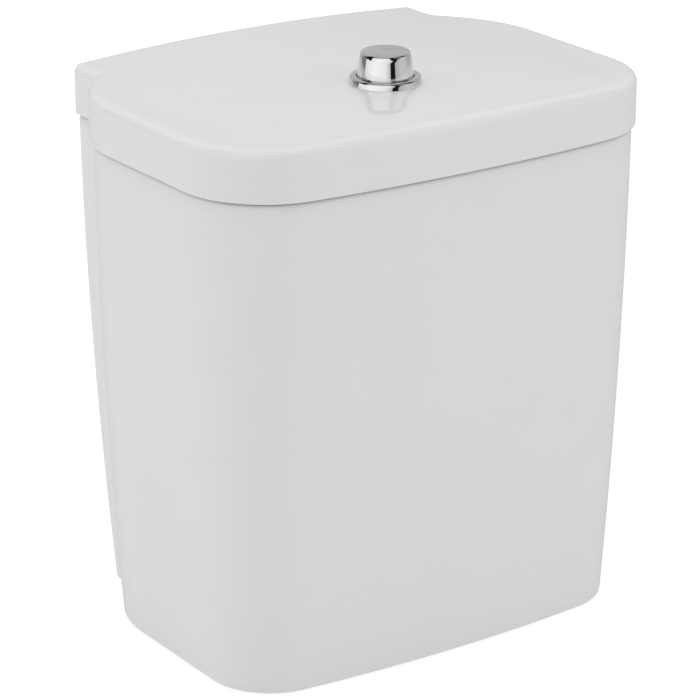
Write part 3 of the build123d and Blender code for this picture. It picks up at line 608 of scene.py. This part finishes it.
def half_outline(ceramic, bm, inset, level, corner_r=REAR_CORNER_R):
    """Draws the right half of the plan at a level, from the back's middle to the front's."""
    half_width, depth = ceramic.lid_width / MM / 2, ceramic.lid_depth / MM
    rear_half = half_width - SHOULDER_STEP
    tangent = math.tan(SHOULDER_ANGLE / 2)
    slant = Vector((math.cos(SHOULDER_ANGLE), math.sin(SHOULDER_ANGLE)))
    notch = Vector((rear_half + NOTCH_R, WALL_Y - NOTCH_FROM_WALL))
    step_y = notch.y - NOTCH_R * tangent - SHOULDER_STEP / math.tan(SHOULDER_ANGLE)
    shoulder = Vector((half_width - SHOULDER_R, step_y - SHOULDER_R * tangent))
    bow_r = (half_width**2 + FRONT_BOW**2) / (2 * FRONT_BOW)
    bow = Vector((0, WALL_Y - depth + bow_r))
    corner_x = half_width - FRONT_CORNER_R
    corner = Vector((corner_x, bow.y - math.sqrt((bow_r - FRONT_CORNER_R) ** 2 - corner_x**2)))
    rear_y = WALL_Y - inset
    wide_notch = NOTCH_R + inset
    overlap = max(0.0, notch.y - rear_y + corner_r)
    reach = math.sqrt((wide_notch + corner_r) ** 2 - overlap**2)
    rear = Vector((notch.x - reach, rear_y - corner_r))
    outward = Vector((reach, overlap)).normalized()

    side_x = half_width - inset
    moves = [
        (None, Vector((rear.x, rear_y)), 12),
        (rear, rear + outward * corner_r, 10),
        (None, notch - outward * wide_notch, 1),
        (notch, notch - slant * wide_notch, 12),
        (None, shoulder + slant * (SHOULDER_R - inset), 1),
        (shoulder, Vector((side_x, shoulder.y)), 20),
        (None, Vector((side_x, corner.y)), 10),
        (corner, bow + (corner - bow).normalized() * (bow_r - inset), 24),
        (bow, Vector((0, bow.y - bow_r + inset)), 16),
    ]
    chain = [bm.verts.new((0, rear_y, level))]
    for centre, end, steps in moves:
        here = chain[-1].co.xy
        if centre is None:
            stride = (end - here) / steps
            for _ in range(steps):
                vert = bmesh.ops.extrude_vert_indiv(bm, verts=[chain[-1]])["verts"][0]
                bmesh.ops.translate(bm, verts=[vert], vec=(stride.x, stride.y, 0))
                chain.append(vert)
            continue
        angle = -(here - centre).angle_signed(end - centre)
        known = set(bm.verts)
        bmesh.ops.spin(
            bm, geom=[chain[-1]], cent=(*centre, level), axis=(0, 0, 1), dvec=(0, 0, 0),
            angle=angle, steps=steps, use_duplicate=False,
        )
        onward = True
        while onward:
            beside = [e.other_vert(chain[-1]) for e in chain[-1].link_edges]
            onward = [v for v in beside if v not in known and v not in chain]
            chain += onward[:1]
    return chain


def chain_edges(chain):
    """The edges along a chain of points."""
    found = []
    for a, b in zip(chain, chain[1:]):
        found.append(next(e for e in a.link_edges if e.other_vert(a) == b))
    return found


def skin_chains(bm, chains, closed=False):
    """Bridges each chain to the next, then mirrors the half to the left."""
    rows = [chain_edges(chain) for chain in chains]
    for near, far in zip(rows, rows[1:] + rows[:1] if closed else rows[1:]):
        bmesh.ops.bridge_loops(bm, edges=near + far)
    bmesh.ops.mirror(bm, geom=bm.verts[:] + bm.edges[:] + bm.faces[:], axis="X", merge_dist=WELD)


def quarter(radius, segments=5):
    """Inset and drop of points round a quarter circle, from its top edge to its side."""
    turns = [math.pi / 2 * i / segments for i in range(segments + 1)]
    return [(radius * (1 - math.sin(t)), radius * (1 - math.cos(t))) for t in turns]


def bore(cutters, radius, low, high, x=0.0, wall_z=None):
    """Adds a cylinder that cuts an upright hole, or one through the back at a height."""
    made = bmesh.ops.create_cone(
        cutters, cap_ends=True, segments=64, radius1=radius, radius2=radius, depth=high - low
    )["verts"]
    middle = (low + high) / 2
    if wall_z is None:
        bmesh.ops.translate(cutters, verts=made, vec=(x, 0, middle))
    else:
        bmesh.ops.rotate(cutters, verts=made, matrix=Matrix.Rotation(math.pi / 2, 3, "X"))
        bmesh.ops.translate(cutters, verts=made, vec=(x, middle, wall_z))


def cut_away(bm, cutter_bm):
    """The first mesh less the second, both in millimetres."""
    holders = []
    for name, source in (("whole", bm), ("cutters", cutter_bm)):
        mesh = bpy.data.meshes.new(name)
        source.to_mesh(mesh)
        source.free()
        holder = bpy.data.objects.new(name, mesh)
        bpy.context.scene.collection.objects.link(holder)
        holders.append(holder)
    cut = holders[0].modifiers.new("cut", "BOOLEAN")
    cut.object = holders[1]
    cut.operation = "DIFFERENCE"
    cut.solver = "EXACT"
    view = bpy.context.evaluated_depsgraph_get()
    made = bpy.data.meshes.new_from_object(holders[0].evaluated_get(view))
    result = bmesh.new()
    result.from_mesh(made)
    for holder in holders:
        mesh = holder.data
        bpy.data.objects.remove(holder)
        bpy.data.meshes.remove(mesh)
    bpy.data.meshes.remove(made)
    return result


def make_tank(ceramic, material):
    """The tank: foot, barrel wall, ledge, rim, neck, water space and the recess below.

    Each section has its inset and level, and its rear corner where that is sharper.
    """
    base_r = ceramic.base_edge_r / MM
    profile = [(RECESS_INSET + 8, RECESS_DEPTH), (RECESS_INSET + RECESS_R, RECESS_DEPTH)]
    profile += [(RECESS_INSET + a, RECESS_DEPTH - b) for b, a in quarter(RECESS_R, 3)][1:]
    profile += [(RECESS_INSET, 12.0), (RECESS_INSET, 1.2), (RECESS_INSET - 0.35, 0.35)]
    profile += [(RECESS_INSET - 1.2, 0.0), (BASE_INSET + base_r + 0.6, 0.0)]
    for side, drop in quarter(base_r, 6):
        profile.append((body_inset(drop) + side, drop, BODY_CORNER_R - side))
    wall_steps = 26
    for i in range(1, wall_steps):
        level = base_r + (BODY_HEIGHT - LEDGE_R - base_r) * i / wall_steps
        profile.append((body_inset(level), level, BODY_CORNER_R))
    for side, drop in quarter(LEDGE_R, 4)[::-1]:
        level = BODY_HEIGHT - drop
        profile.append((body_inset(level) + side, level, BODY_CORNER_R - side))
    profile += [(RIM_INSET - LEDGE_R, BODY_HEIGHT)]
    profile += [(RIM_INSET - side, BODY_HEIGHT + drop) for side, drop in quarter(LEDGE_R, 3)][1:]
    rim_edge = quarter(RIM_R, 4)
    profile += [(RIM_INSET + side, RIM_TOP - drop) for side, drop in rim_edge[::-1]]
    profile += [(MOUTH_INSET - side, RIM_TOP - drop) for side, drop in rim_edge]
    profile += [(MOUTH_INSET, NECK_TOP + 5), (MOUTH_INSET + 0.2, NECK_TOP + 1)]
    neck_inset = body_inset(NECK_BOTTOM) + BODY_WALL
    for share in (0.25, 0.5, 0.75):
        level = NECK_TOP + (NECK_BOTTOM - NECK_TOP) * share
        profile.append((MOUTH_INSET + (neck_inset - MOUTH_INSET) * share, level))
    inside_steps = 14
    bottom = FLOOR_TOP + FLOOR_R
    for i in range(inside_steps + 1):
        level = NECK_BOTTOM + (bottom - NECK_BOTTOM) * i / inside_steps
        profile.append((body_inset(level) + BODY_WALL, level))
    floor_inset = body_inset(FLOOR_TOP) + BODY_WALL
    for side, drop in quarter(FLOOR_R, 5)[-2::-1]:
        profile.append((floor_inset + side, FLOOR_TOP + drop))
    profile.append((floor_inset + 12.0, FLOOR_TOP))

    bm = bmesh.new()
    chains = [half_outline(ceramic, bm, *section) for section in profile]
    skin_chains(bm, chains)
    weld(bm)
    rim = [e for e in bm.edges if e.is_boundary]
    bmesh.ops.holes_fill(bm, edges=rim, sides=0)
    weld(bm)
    cutters = bmesh.new()
    low, high = RECESS_DEPTH - 5, FLOOR_TOP + 5
    bore(cutters, FLUSH_HOLE_R, low, high)
    for side in (-1, 1):
        bore(cutters, INLET_HOLE_R, low, high, side * INLET_X)
        bore(cutters, FIXING_R, WALL_Y - 26, WALL_Y + 6, side * FIXING_X, FIXING_Z)
    bm = cut_away(bm, cutters)
    return finish_piece(bm, "glazed_tank", material, "tank", ["cistern_tank"], 45)


def make_lid(ceramic, material):
    """The lid: one skin from the button's hole over the crown, down the skirt and back below."""
    edge_r = ceramic.lid_edge_r / MM
    bm = bmesh.new()
    chains = []

    def round_chain(radius, level):
        """A half circle round the button's hole, its points in line with the outline's."""
        chain = half_outline(ceramic, bm, edge_r, level)
        for vert in chain:
            vert.co.xy = vert.co.xy.normalized() * radius
        chains.append(chain)

    def blended_chain(share):
        """A chain on the crown between the button's land and the lid's edge."""
        chain = half_outline(ceramic, bm, edge_r, LID_EDGE, REAR_CORNER_R - edge_r)
        for vert in chain:
            inner = vert.co.xy.normalized() * (LAND_R + LAND_MARGIN)
            vert.co.xy = inner.lerp(vert.co.xy, share)
            vert.co.z = crown_level(ceramic, vert.co.x, vert.co.y)
        chains.append(chain)

    def edge_chain(inset, drop):
        """A chain on the rounded edge, a drop below the crown."""
        chain = half_outline(ceramic, bm, inset, LID_EDGE, REAR_CORNER_R - inset)
        for vert in chain:
            vert.co.z = crown_level(ceramic, vert.co.x, vert.co.y) - drop
        chains.append(chain)

    def flat_chain(inset, level):
        chains.append(half_outline(ceramic, bm, inset, level))

    round_chain(LID_HOLE_R, LAND_Z)
    round_chain(LAND_R, LAND_Z)
    crown_steps = 24
    for i in range(crown_steps):
        blended_chain(i / crown_steps)
    for inset, drop in quarter(edge_r, 8):
        edge_chain(inset, drop)
    skirt_edge = quarter(SKIRT_R, 4)
    skirt_top, skirt_foot = LID_EDGE - edge_r - 1.0, LID_BOTTOM + SKIRT_R
    for share in (0, 0.2, 0.4, 0.6, 0.8):
        flat_chain(0, skirt_top + (skirt_foot - skirt_top) * share)
    for side, drop in skirt_edge[::-1]:
        flat_chain(side, LID_BOTTOM + drop)
    for side, drop in skirt_edge:
        flat_chain(LID_WALL - side, LID_BOTTOM + drop)
    flat_chain(LID_WALL, LID_UNDER - UNDER_R - 1.0)
    for side, drop in quarter(UNDER_R, 4)[::-1]:
        flat_chain(LID_WALL + side, LID_UNDER - drop)
    under_steps = 6
    for i in range(1, under_steps):
        share = i / under_steps
        chain = half_outline(ceramic, bm, LID_WALL + UNDER_R + 1.0, LID_UNDER)
        for vert in chain:
            inner = vert.co.xy.normalized() * (LID_HOLE_R + HOLE_MARGIN)
            vert.co.xy = vert.co.xy.lerp(inner, share)
        chains.append(chain)
    round_chain(LID_HOLE_R + HOLE_MARGIN, LID_UNDER)
    round_chain(LID_HOLE_R + HOLE_EDGE, LID_UNDER)
    round_chain(LID_HOLE_R, LID_UNDER + HOLE_EDGE)
    skin_chains(bm, chains, closed=True)
    weld(bm)
    return finish_piece(bm, "glazed_lid", material, "lid", ["cistern_lid"], 45)


# Push button


def make_ring(button, material):
    """The bright ring: a leaning outer side, a small rounded top and a straight bore."""
    foot = button.ring_r / MM
    bore_r = button.dome_base_r / MM + 0.45
    top, step = LAND_Z + BEZEL_HEIGHT, LAND_Z + BEZEL_STEP
    points = [
        (foot, LAND_Z + 0.05, 0.15),
        (foot - 1.0, top, 1.5),
        (bore_r, top, 0.5),
        (bore_r, step, 0.0),
        (BEZEL_BORE_R, step, 0.0),
        (BEZEL_BORE_R, LAND_Z + 0.05, 0.0),
    ]
    return bright_piece("bright_ring", points, material, "lid", "button_bezel")


def make_dome(button, material):
    """The bright dome: a tapered cup with a flat top and a small rounded edge."""
    foot, crest = button.dome_base_r / MM, button.dome_top_r / MM
    top, cone = LAND_Z + DOME_HEIGHT, LAND_Z + DOME_CONE_START
    skirt, boss, rod_top = LAND_Z - DOME_SKIRT, LAND_Z - BOSS_DROP, LAND_Z + ROD_TOP
    points = [
        (foot - DOME_WALL, skirt, 0.0),
        (foot, skirt, 0.3),
        (foot, cone, 0.0),
        (crest + 0.58, top - 4.2, 0.0),
        (crest + 0.35, top - 3.2, 0.0),
        (crest + 0.08, top - 2.2, 0.0),
        (crest - 0.25, top - 1.2, 0.0),
        (crest - 0.65, top, 1.1),
        (0.02, top + 0.12, 0.0),
        (0.02, rod_top, 0.0),
        (ROD_R, rod_top, 0.0),
        (ROD_R, boss, 0.0),
        (BOSS_R, boss, 0.4),
        (BOSS_R, top - DOME_WALL, 0.0),
        (crest - DOME_WALL, top - DOME_WALL, 0.0),
        (foot - DOME_WALL, cone, 0.0),
    ]
    return bright_piece("bright_dome", points, material, "button", "button_dome")


def make_spring(button, material):
    """The return spring: round wire in even turns."""
    turns = button.spring_turns
    bm = bmesh.new()
    bmesh.ops.create_circle(bm, cap_ends=True, segments=12, radius=SPRING_WIRE_R)
    bmesh.ops.rotate(bm, verts=bm.verts, matrix=Matrix.Rotation(math.pi / 2, 3, "X"))
    bmesh.ops.translate(bm, verts=bm.verts, vec=(SPRING_R, 0, SPRING_BOTTOM + SPRING_WIRE_R))
    steps = 36 * turns
    rise = SPRING_TOP - SPRING_BOTTOM - 2 * SPRING_WIRE_R
    bmesh.ops.spin(
        bm, geom=bm.verts[:] + bm.edges[:] + bm.faces[:], cent=(0, 0, 0), axis=(0, 0, 1),
        dvec=(0, 0, rise / steps), angle=FULL_TURN * turns, steps=steps, use_duplicate=False,
    )
    weld(bm)
    spring = finish_piece(bm, "return_spring", material, "lid", ["button_spring"], 60)
    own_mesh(spring)
    return spring


# Operators


def finishes():
    """Every material by the record's slot, made once."""
    scene = bpy.context.scene
    ceramic, button, valves = scene.cistern_ceramic, scene.cistern_button, scene.cistern_valves
    made = {m["finish"]: m for m in bpy.data.materials if "finish" in m}
    if made:
        return made
    made = {
        "glazed_ceramic": glazed_ceramic(ceramic),
        "chrome": bright_plating(button),
        "white_plastic": moulded_plastic("white_plastic", tuple(valves.white)),
        "grey_plastic": moulded_plastic("grey_plastic", tuple(valves.grey)),
        "blue_plastic": moulded_plastic("blue_plastic", tuple(valves.blue)),
        "black_plastic": moulded_plastic("black_plastic", (0.05, 0.05, 0.052), 0.42),
        "foam": cellular_foam(),
        "black_rubber": matt_rubber(),
        "steel": drawn_steel(),
    }
    for slot, material in made.items():
        material["finish"] = slot
    return made


class CISTERN_OT_ceramic(bpy.types.Operator):
    """Make the glazed tank and lid"""

    bl_idname = "cistern.ceramic"
    bl_label = "Tank and lid"

    def execute(self, context):
        glaze = finishes()["glazed_ceramic"]
        make_tank(context.scene.cistern_ceramic, glaze)
        make_lid(context.scene.cistern_ceramic, glaze)
        return {"FINISHED"}


class CISTERN_OT_button(bpy.types.Operator):
    """Make the bright button, its ring and its spring"""

    bl_idname = "cistern.button"
    bl_label = "Push button"

    def execute(self, context):
        kinds = finishes()
        settings = context.scene.cistern_button
        make_ring(settings, kinds["chrome"])
        make_dome(settings, kinds["chrome"])
        make_spring(settings, kinds["steel"])
        return {"FINISHED"}


# Nodes that the other operators draw
DRAWN_APART = {"cistern_tank", "cistern_lid", "button_bezel", "button_dome", "button_spring"}


class CISTERN_OT_valves(bpy.types.Operator):
    """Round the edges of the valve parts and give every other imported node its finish"""

    bl_idname = "cistern.valves"
    bl_label = "Valves and fittings"

    def execute(self, context):
        kinds = finishes()
        width = context.scene.cistern_valves.moulded_edge / MM
        body_of = {n: b for b, ns in frame["record"]["behaviour"]["bodies"].items() for n in ns}
        for part in frame["record"]["subparts"]:
            node, slot = part["node"], part["material_slot"]
            if node not in DRAWN_APART:
                softened_piece(node, kinds[slot], body_of[node], width)
        return {"FINISHED"}


class CISTERN_OT_stage(bpy.types.Operator):
    """Make the floor, the light and the camera"""

    bl_idname = "cistern.stage"
    bl_label = "Stage"

    def execute(self, context):
        make_floor()
        make_surround(context.scene.cistern_studio)
        make_lamps(context.scene.cistern_studio)
        make_camera(context.scene)
        return {"FINISHED"}


# The floor in metres, and its grey and glow as light rays and as the camera meet it
FLOOR_HALF = 9.0
FLOOR_DROP = 0.0004
FLOOR_AS_LIGHT = (0.50, 0.45)
FLOOR_AS_SEEN = (0.28, 0.78)


def make_floor():
    """A pale floor that shows white to the camera and keeps the object's shadow."""
    bm = bmesh.new()
    bmesh.ops.create_grid(bm, x_segments=1, y_segments=1, size=FLOOR_HALF)
    bmesh.ops.translate(bm, verts=bm.verts, vec=(0, 0, -FLOOR_DROP))
    mesh = bpy.data.meshes.new("floor")
    bm.to_mesh(mesh)
    bm.free()
    material = bpy.data.materials.new("pale_floor")
    material.use_nodes = True
    tree = material.node_tree
    tree.nodes.clear()

    def pale(grey, glow):
        """A matt grey with a glow of its own."""
        matt = tree.nodes.new("ShaderNodeBsdfDiffuse")
        matt.inputs["Color"].default_value = (grey, grey, grey, 1)
        light = tree.nodes.new("ShaderNodeEmission")
        light.inputs["Strength"].default_value = glow
        both = tree.nodes.new("ShaderNodeAddShader")
        tree.links.new(matt.outputs["BSDF"], both.inputs[0])
        tree.links.new(light.outputs["Emission"], both.inputs[1])
        return both.outputs["Shader"]

    def choose(share, first, second):
        """The first shader where the share is nothing, and the second where it is all."""
        mix = tree.nodes.new("ShaderNodeMixShader")
        tree.links.new(share, mix.inputs["Fac"])
        tree.links.new(first, mix.inputs[1])
        tree.links.new(second, mix.inputs[2])
        return mix.outputs["Shader"]

    path = tree.nodes.new("ShaderNodeLightPath")
    looked_at = path.outputs["Is Camera Ray"]
    for kind in ("Is Glossy Ray", "Is Transmission Ray"):
        looked_at = reckon(tree, "MAXIMUM", looked_at, path.outputs[kind])
    above = choose(looked_at, pale(*FLOOR_AS_LIGHT), pale(*FLOOR_AS_SEEN))
    facing = tree.nodes.new("ShaderNodeNewGeometry")
    clear = tree.nodes.new("ShaderNodeBsdfTransparent")
    whole = choose(facing.outputs["Backfacing"], above, clear.outputs["BSDF"])
    output = tree.nodes.new("ShaderNodeOutputMaterial")
    tree.links.new(whole, output.inputs["Surface"])
    mesh.materials.append(material)
    floor = bpy.data.objects.new("floor", mesh)
    floor.visible_glossy = False
    bpy.context.scene.collection.objects.link(floor)


def band_ramp(tree, share, stops):
    """A grey that follows stops of (place, grey) along a share."""
    ramp = tree.nodes.new("ShaderNodeValToRGB")
    marks = ramp.color_ramp.elements
    while len(marks) < len(stops):
        marks.new(0.5)
    for mark, (place, grey) in zip(marks, stops):
        mark.position = place
        mark.color = (grey, grey, grey, 1)
    tree.links.new(share, ramp.inputs["Fac"])
    return ramp.outputs["Color"]


# Studio cards by bearing from the camera in degrees, and the dark line's foot in shares of 90
LOW_CARDS = [
    (-180, 0.50), (-124, 0.45), (-122, 0.25), (-93, 0.20), (-91, 0.90), (-45, 1.12), (0, 0.98),
    (20, 0.60), (21.5, 0.01), (40, 0.01), (41.5, 0.48), (70, 0.66), (95, 0.60), (112, 0.45),
    (180, 0.50),
]
MIDDLE_CARDS = [
    (-180, 0.50), (-98, 0.45), (-95, 0.01), (-62, 0.01), (-57, 0.62), (0, 0.66), (19, 0.45),
    (20.5, 0.01), (41, 0.01), (42.5, 0.32), (78, 0.40), (84, 0.01), (110, 0.01), (114, 0.45),
    (180, 0.50),
]
LINE_GREYS = [(-114, 0.53), (-110, 0.01), (110, 0.01), (114, 0.53)]
LINE_FOOT = [(-66, 0.10), (-58, 0.245), (18, 0.245), (30, 0.165), (180, 0.165)]

# Where the rows of cards start in degrees of rise, and how the low cards lean above a rise
FLOOR_EDGE = (-13.0, -8.0)
FLOOR_GREY = 0.60
LEAN_FOOT = 6.0
LEAN_RATE = 1.6
MIDDLE_RISE = 22.0
LINE_RISE = 46.0
CEILING_EDGE = 48.0
CEILING_RISE = 62.0
CEILING_GREY = 0.53


def make_surround(studio):
    """White for the camera, plain light for matt surfaces, and studio cards for bright metal."""
    world = bpy.data.worlds.new("surround")
    bpy.context.scene.world = world
    world.use_nodes = True
    tree = world.node_tree
    tree.nodes.clear()
    place = tree.nodes.new("ShaderNodeTexCoord")
    turn = math.radians(CAMERA_TURN)

    def along(direction):
        """How far the look direction points along another one."""
        dot = tree.nodes.new("ShaderNodeVectorMath")
        dot.operation = "DOT_PRODUCT"
        dot.inputs[1].default_value = direction
        tree.links.new(place.outputs["Generated"], dot.inputs[0])
        return dot.outputs["Value"]

    right = along((math.cos(turn), math.sin(turn), 0))
    front = along((math.sin(turn), -math.cos(turn), 0))
    bearing = reckon(tree, "DEGREES", reckon(tree, "ARCTAN2", right, front))
    rise = reckon(tree, "DEGREES", reckon(tree, "ARCSINE", along((0, 0, 1))))

    def card_row(stops, where):
        """A grey by bearing, from stops in degrees either side of the camera."""
        share = between(tree, where, 0, 1, -180, 180)
        return band_ramp(tree, share, [((degrees + 180) / 360, grey) for degrees, grey in stops])

    def over(level):
        """Nothing below a rise in degrees and all above it."""
        return between(tree, reckon(tree, "SUBTRACT", rise, level), 0, 1, -0.5, 0.5)

    past_foot = reckon(tree, "MAXIMUM", reckon(tree, "SUBTRACT", rise, LEAN_FOOT), 0.0)
    leant = reckon(tree, "MULTIPLY_ADD", past_foot, -LEAN_RATE, bearing)
    raised = between(tree, rise, 0, 1, *FLOOR_EDGE)
    low_cards = tinted(tree, raised, (FLOOR_GREY,) * 3, card_row(LOW_CARDS, leant))
    line_foot = reckon(tree, "MULTIPLY", card_row(LINE_FOOT, bearing), 90.0)
    line = card_row(LINE_GREYS, bearing)
    cards_seen = tinted(tree, over(line_foot), low_cards, line)
    cards_seen = tinted(tree, over(MIDDLE_RISE), cards_seen, card_row(MIDDLE_CARDS, bearing))
    cards_seen = tinted(tree, over(LINE_RISE), cards_seen, line)
    cards_seen = tinted(tree, over(CEILING_RISE), cards_seen, (CEILING_GREY,) * 3)

    path = tree.nodes.new("ShaderNodeLightPath")
    overhead = between(tree, rise, 0, 1, CEILING_EDGE, CEILING_RISE)
    plain = tinted(tree, overhead, (studio.surround,) * 3, (studio.ceiling,) * 3)
    shade = tinted(tree, path.outputs["Is Glossy Ray"], plain, cards_seen)
    looked_at = (path.outputs["Is Camera Ray"], path.outputs["Is Transmission Ray"])
    clear = reckon(tree, "MAXIMUM", *looked_at)
    shade = tinted(tree, clear, shade, (1, 1, 1))
    background = tree.nodes.new("ShaderNodeBackground")
    background.inputs["Strength"].default_value = 1.0
    tree.links.new(shade, background.inputs["Color"])
    output = tree.nodes.new("ShaderNodeOutputWorld")
    tree.links.new(background.outputs["Background"], output.inputs["Surface"])


# Lamps as (name, size, bearing from the camera, height), in degrees and metres
LAMPS = [("front", 1.8, 52.0, 0.7), ("side", 1.2, -84.0, 0.3)]
LAMP_DISTANCE = 2.4
LAMP_AIM = (0, 0.04, 0.2)


def make_lamps(studio):
    """Two soft lamps, one either side of the camera."""
    for name, size, bearing, height in LAMPS:
        lamp = bpy.data.lights.new(name, "AREA")
        lamp.energy = getattr(studio, name)
        lamp.size = size
        holder = bpy.data.objects.new(name, lamp)
        turn = math.radians(CAMERA_TURN + bearing)
        flat = Vector((math.sin(turn), -math.cos(turn))) * LAMP_DISTANCE
        holder.location = (*flat, height)
        aim = Vector(LAMP_AIM) - holder.location
        holder.rotation_euler = aim.to_track_quat("-Z", "Y").to_euler()
        holder.visible_glossy = False
        holder.visible_camera = False
        bpy.context.scene.collection.objects.link(holder)


def make_camera(scene):
    """The camera where the photograph was taken from."""
    turn, rise = math.radians(CAMERA_TURN), math.radians(CAMERA_RISE)
    back = Vector((
        math.sin(turn) * math.cos(rise), -math.cos(turn) * math.cos(rise), math.sin(rise)
    ))
    lens = bpy.data.cameras.new("camera")
    lens.sensor_width = SENSOR_WIDTH
    lens.lens = FOCAL_PIXELS / PICTURE_PIXELS * lens.sensor_width
    lens.shift_x = (PICTURE_PIXELS / 2 - PICTURE_CENTRE[0]) / PICTURE_PIXELS
    lens.shift_y = (PICTURE_CENTRE[1] - PICTURE_PIXELS / 2) / PICTURE_PIXELS
    lens.clip_end = 50.0
    camera = bpy.data.objects.new("camera", lens)
    camera.location = Vector(CAMERA_AIM) + back * CAMERA_DISTANCE
    camera.rotation_euler = (-back).to_track_quat("-Z", "Y").to_euler()
    scene.collection.objects.link(camera)
    scene.camera = camera
    scene.view_settings.view_transform = "Standard"


class CISTERN_PT_panel(bpy.types.Panel):
    """The cistern's sizes, colours and steps"""

    bl_idname = "CISTERN_PT_panel"
    bl_label = "Cistern"
    bl_space_type = "VIEW_3D"
    bl_region_type = "UI"
    bl_category = "Cistern"

    def draw(self, context):
        layout = self.layout
        for holder, steps in PANEL_ROWS:
            box = layout.box()
            settings = getattr(context.scene, holder)
            for name in settings.__annotations__:
                box.prop(settings, name)
            for step in steps:
                box.operator(step)


PANEL_ROWS = [
    ("cistern_ceramic", ["cistern.ceramic"]),
    ("cistern_button", ["cistern.button"]),
    ("cistern_valves", ["cistern.valves"]),
    ("cistern_studio", ["cistern.stage"]),
]
SETTINGS = {
    "cistern_ceramic": CeramicSettings,
    "cistern_button": ButtonSettings,
    "cistern_valves": ValveSettings,
    "cistern_studio": StudioSettings,
}
OPERATORS = [CISTERN_OT_ceramic, CISTERN_OT_button, CISTERN_OT_valves, CISTERN_OT_stage]


def register():
    for name, group in SETTINGS.items():
        bpy.utils.register_class(group)
        setattr(bpy.types.Scene, name, bpy.props.PointerProperty(type=group))
    for kind in [*OPERATORS, CISTERN_PT_panel]:
        bpy.utils.register_class(kind)


def unregister():
    for kind in reversed([*OPERATORS, CISTERN_PT_panel]):
        bpy.utils.unregister_class(kind)
    for name, group in reversed(SETTINGS.items()):
        delattr(bpy.types.Scene, name)
        bpy.utils.unregister_class(group)


def main():
    """Makes every piece and the stage."""
    register()
    for step in ("ceramic", "button", "valves", "stage"):
        getattr(bpy.ops.cistern, step)()


if __name__ == "__main__":
    main()
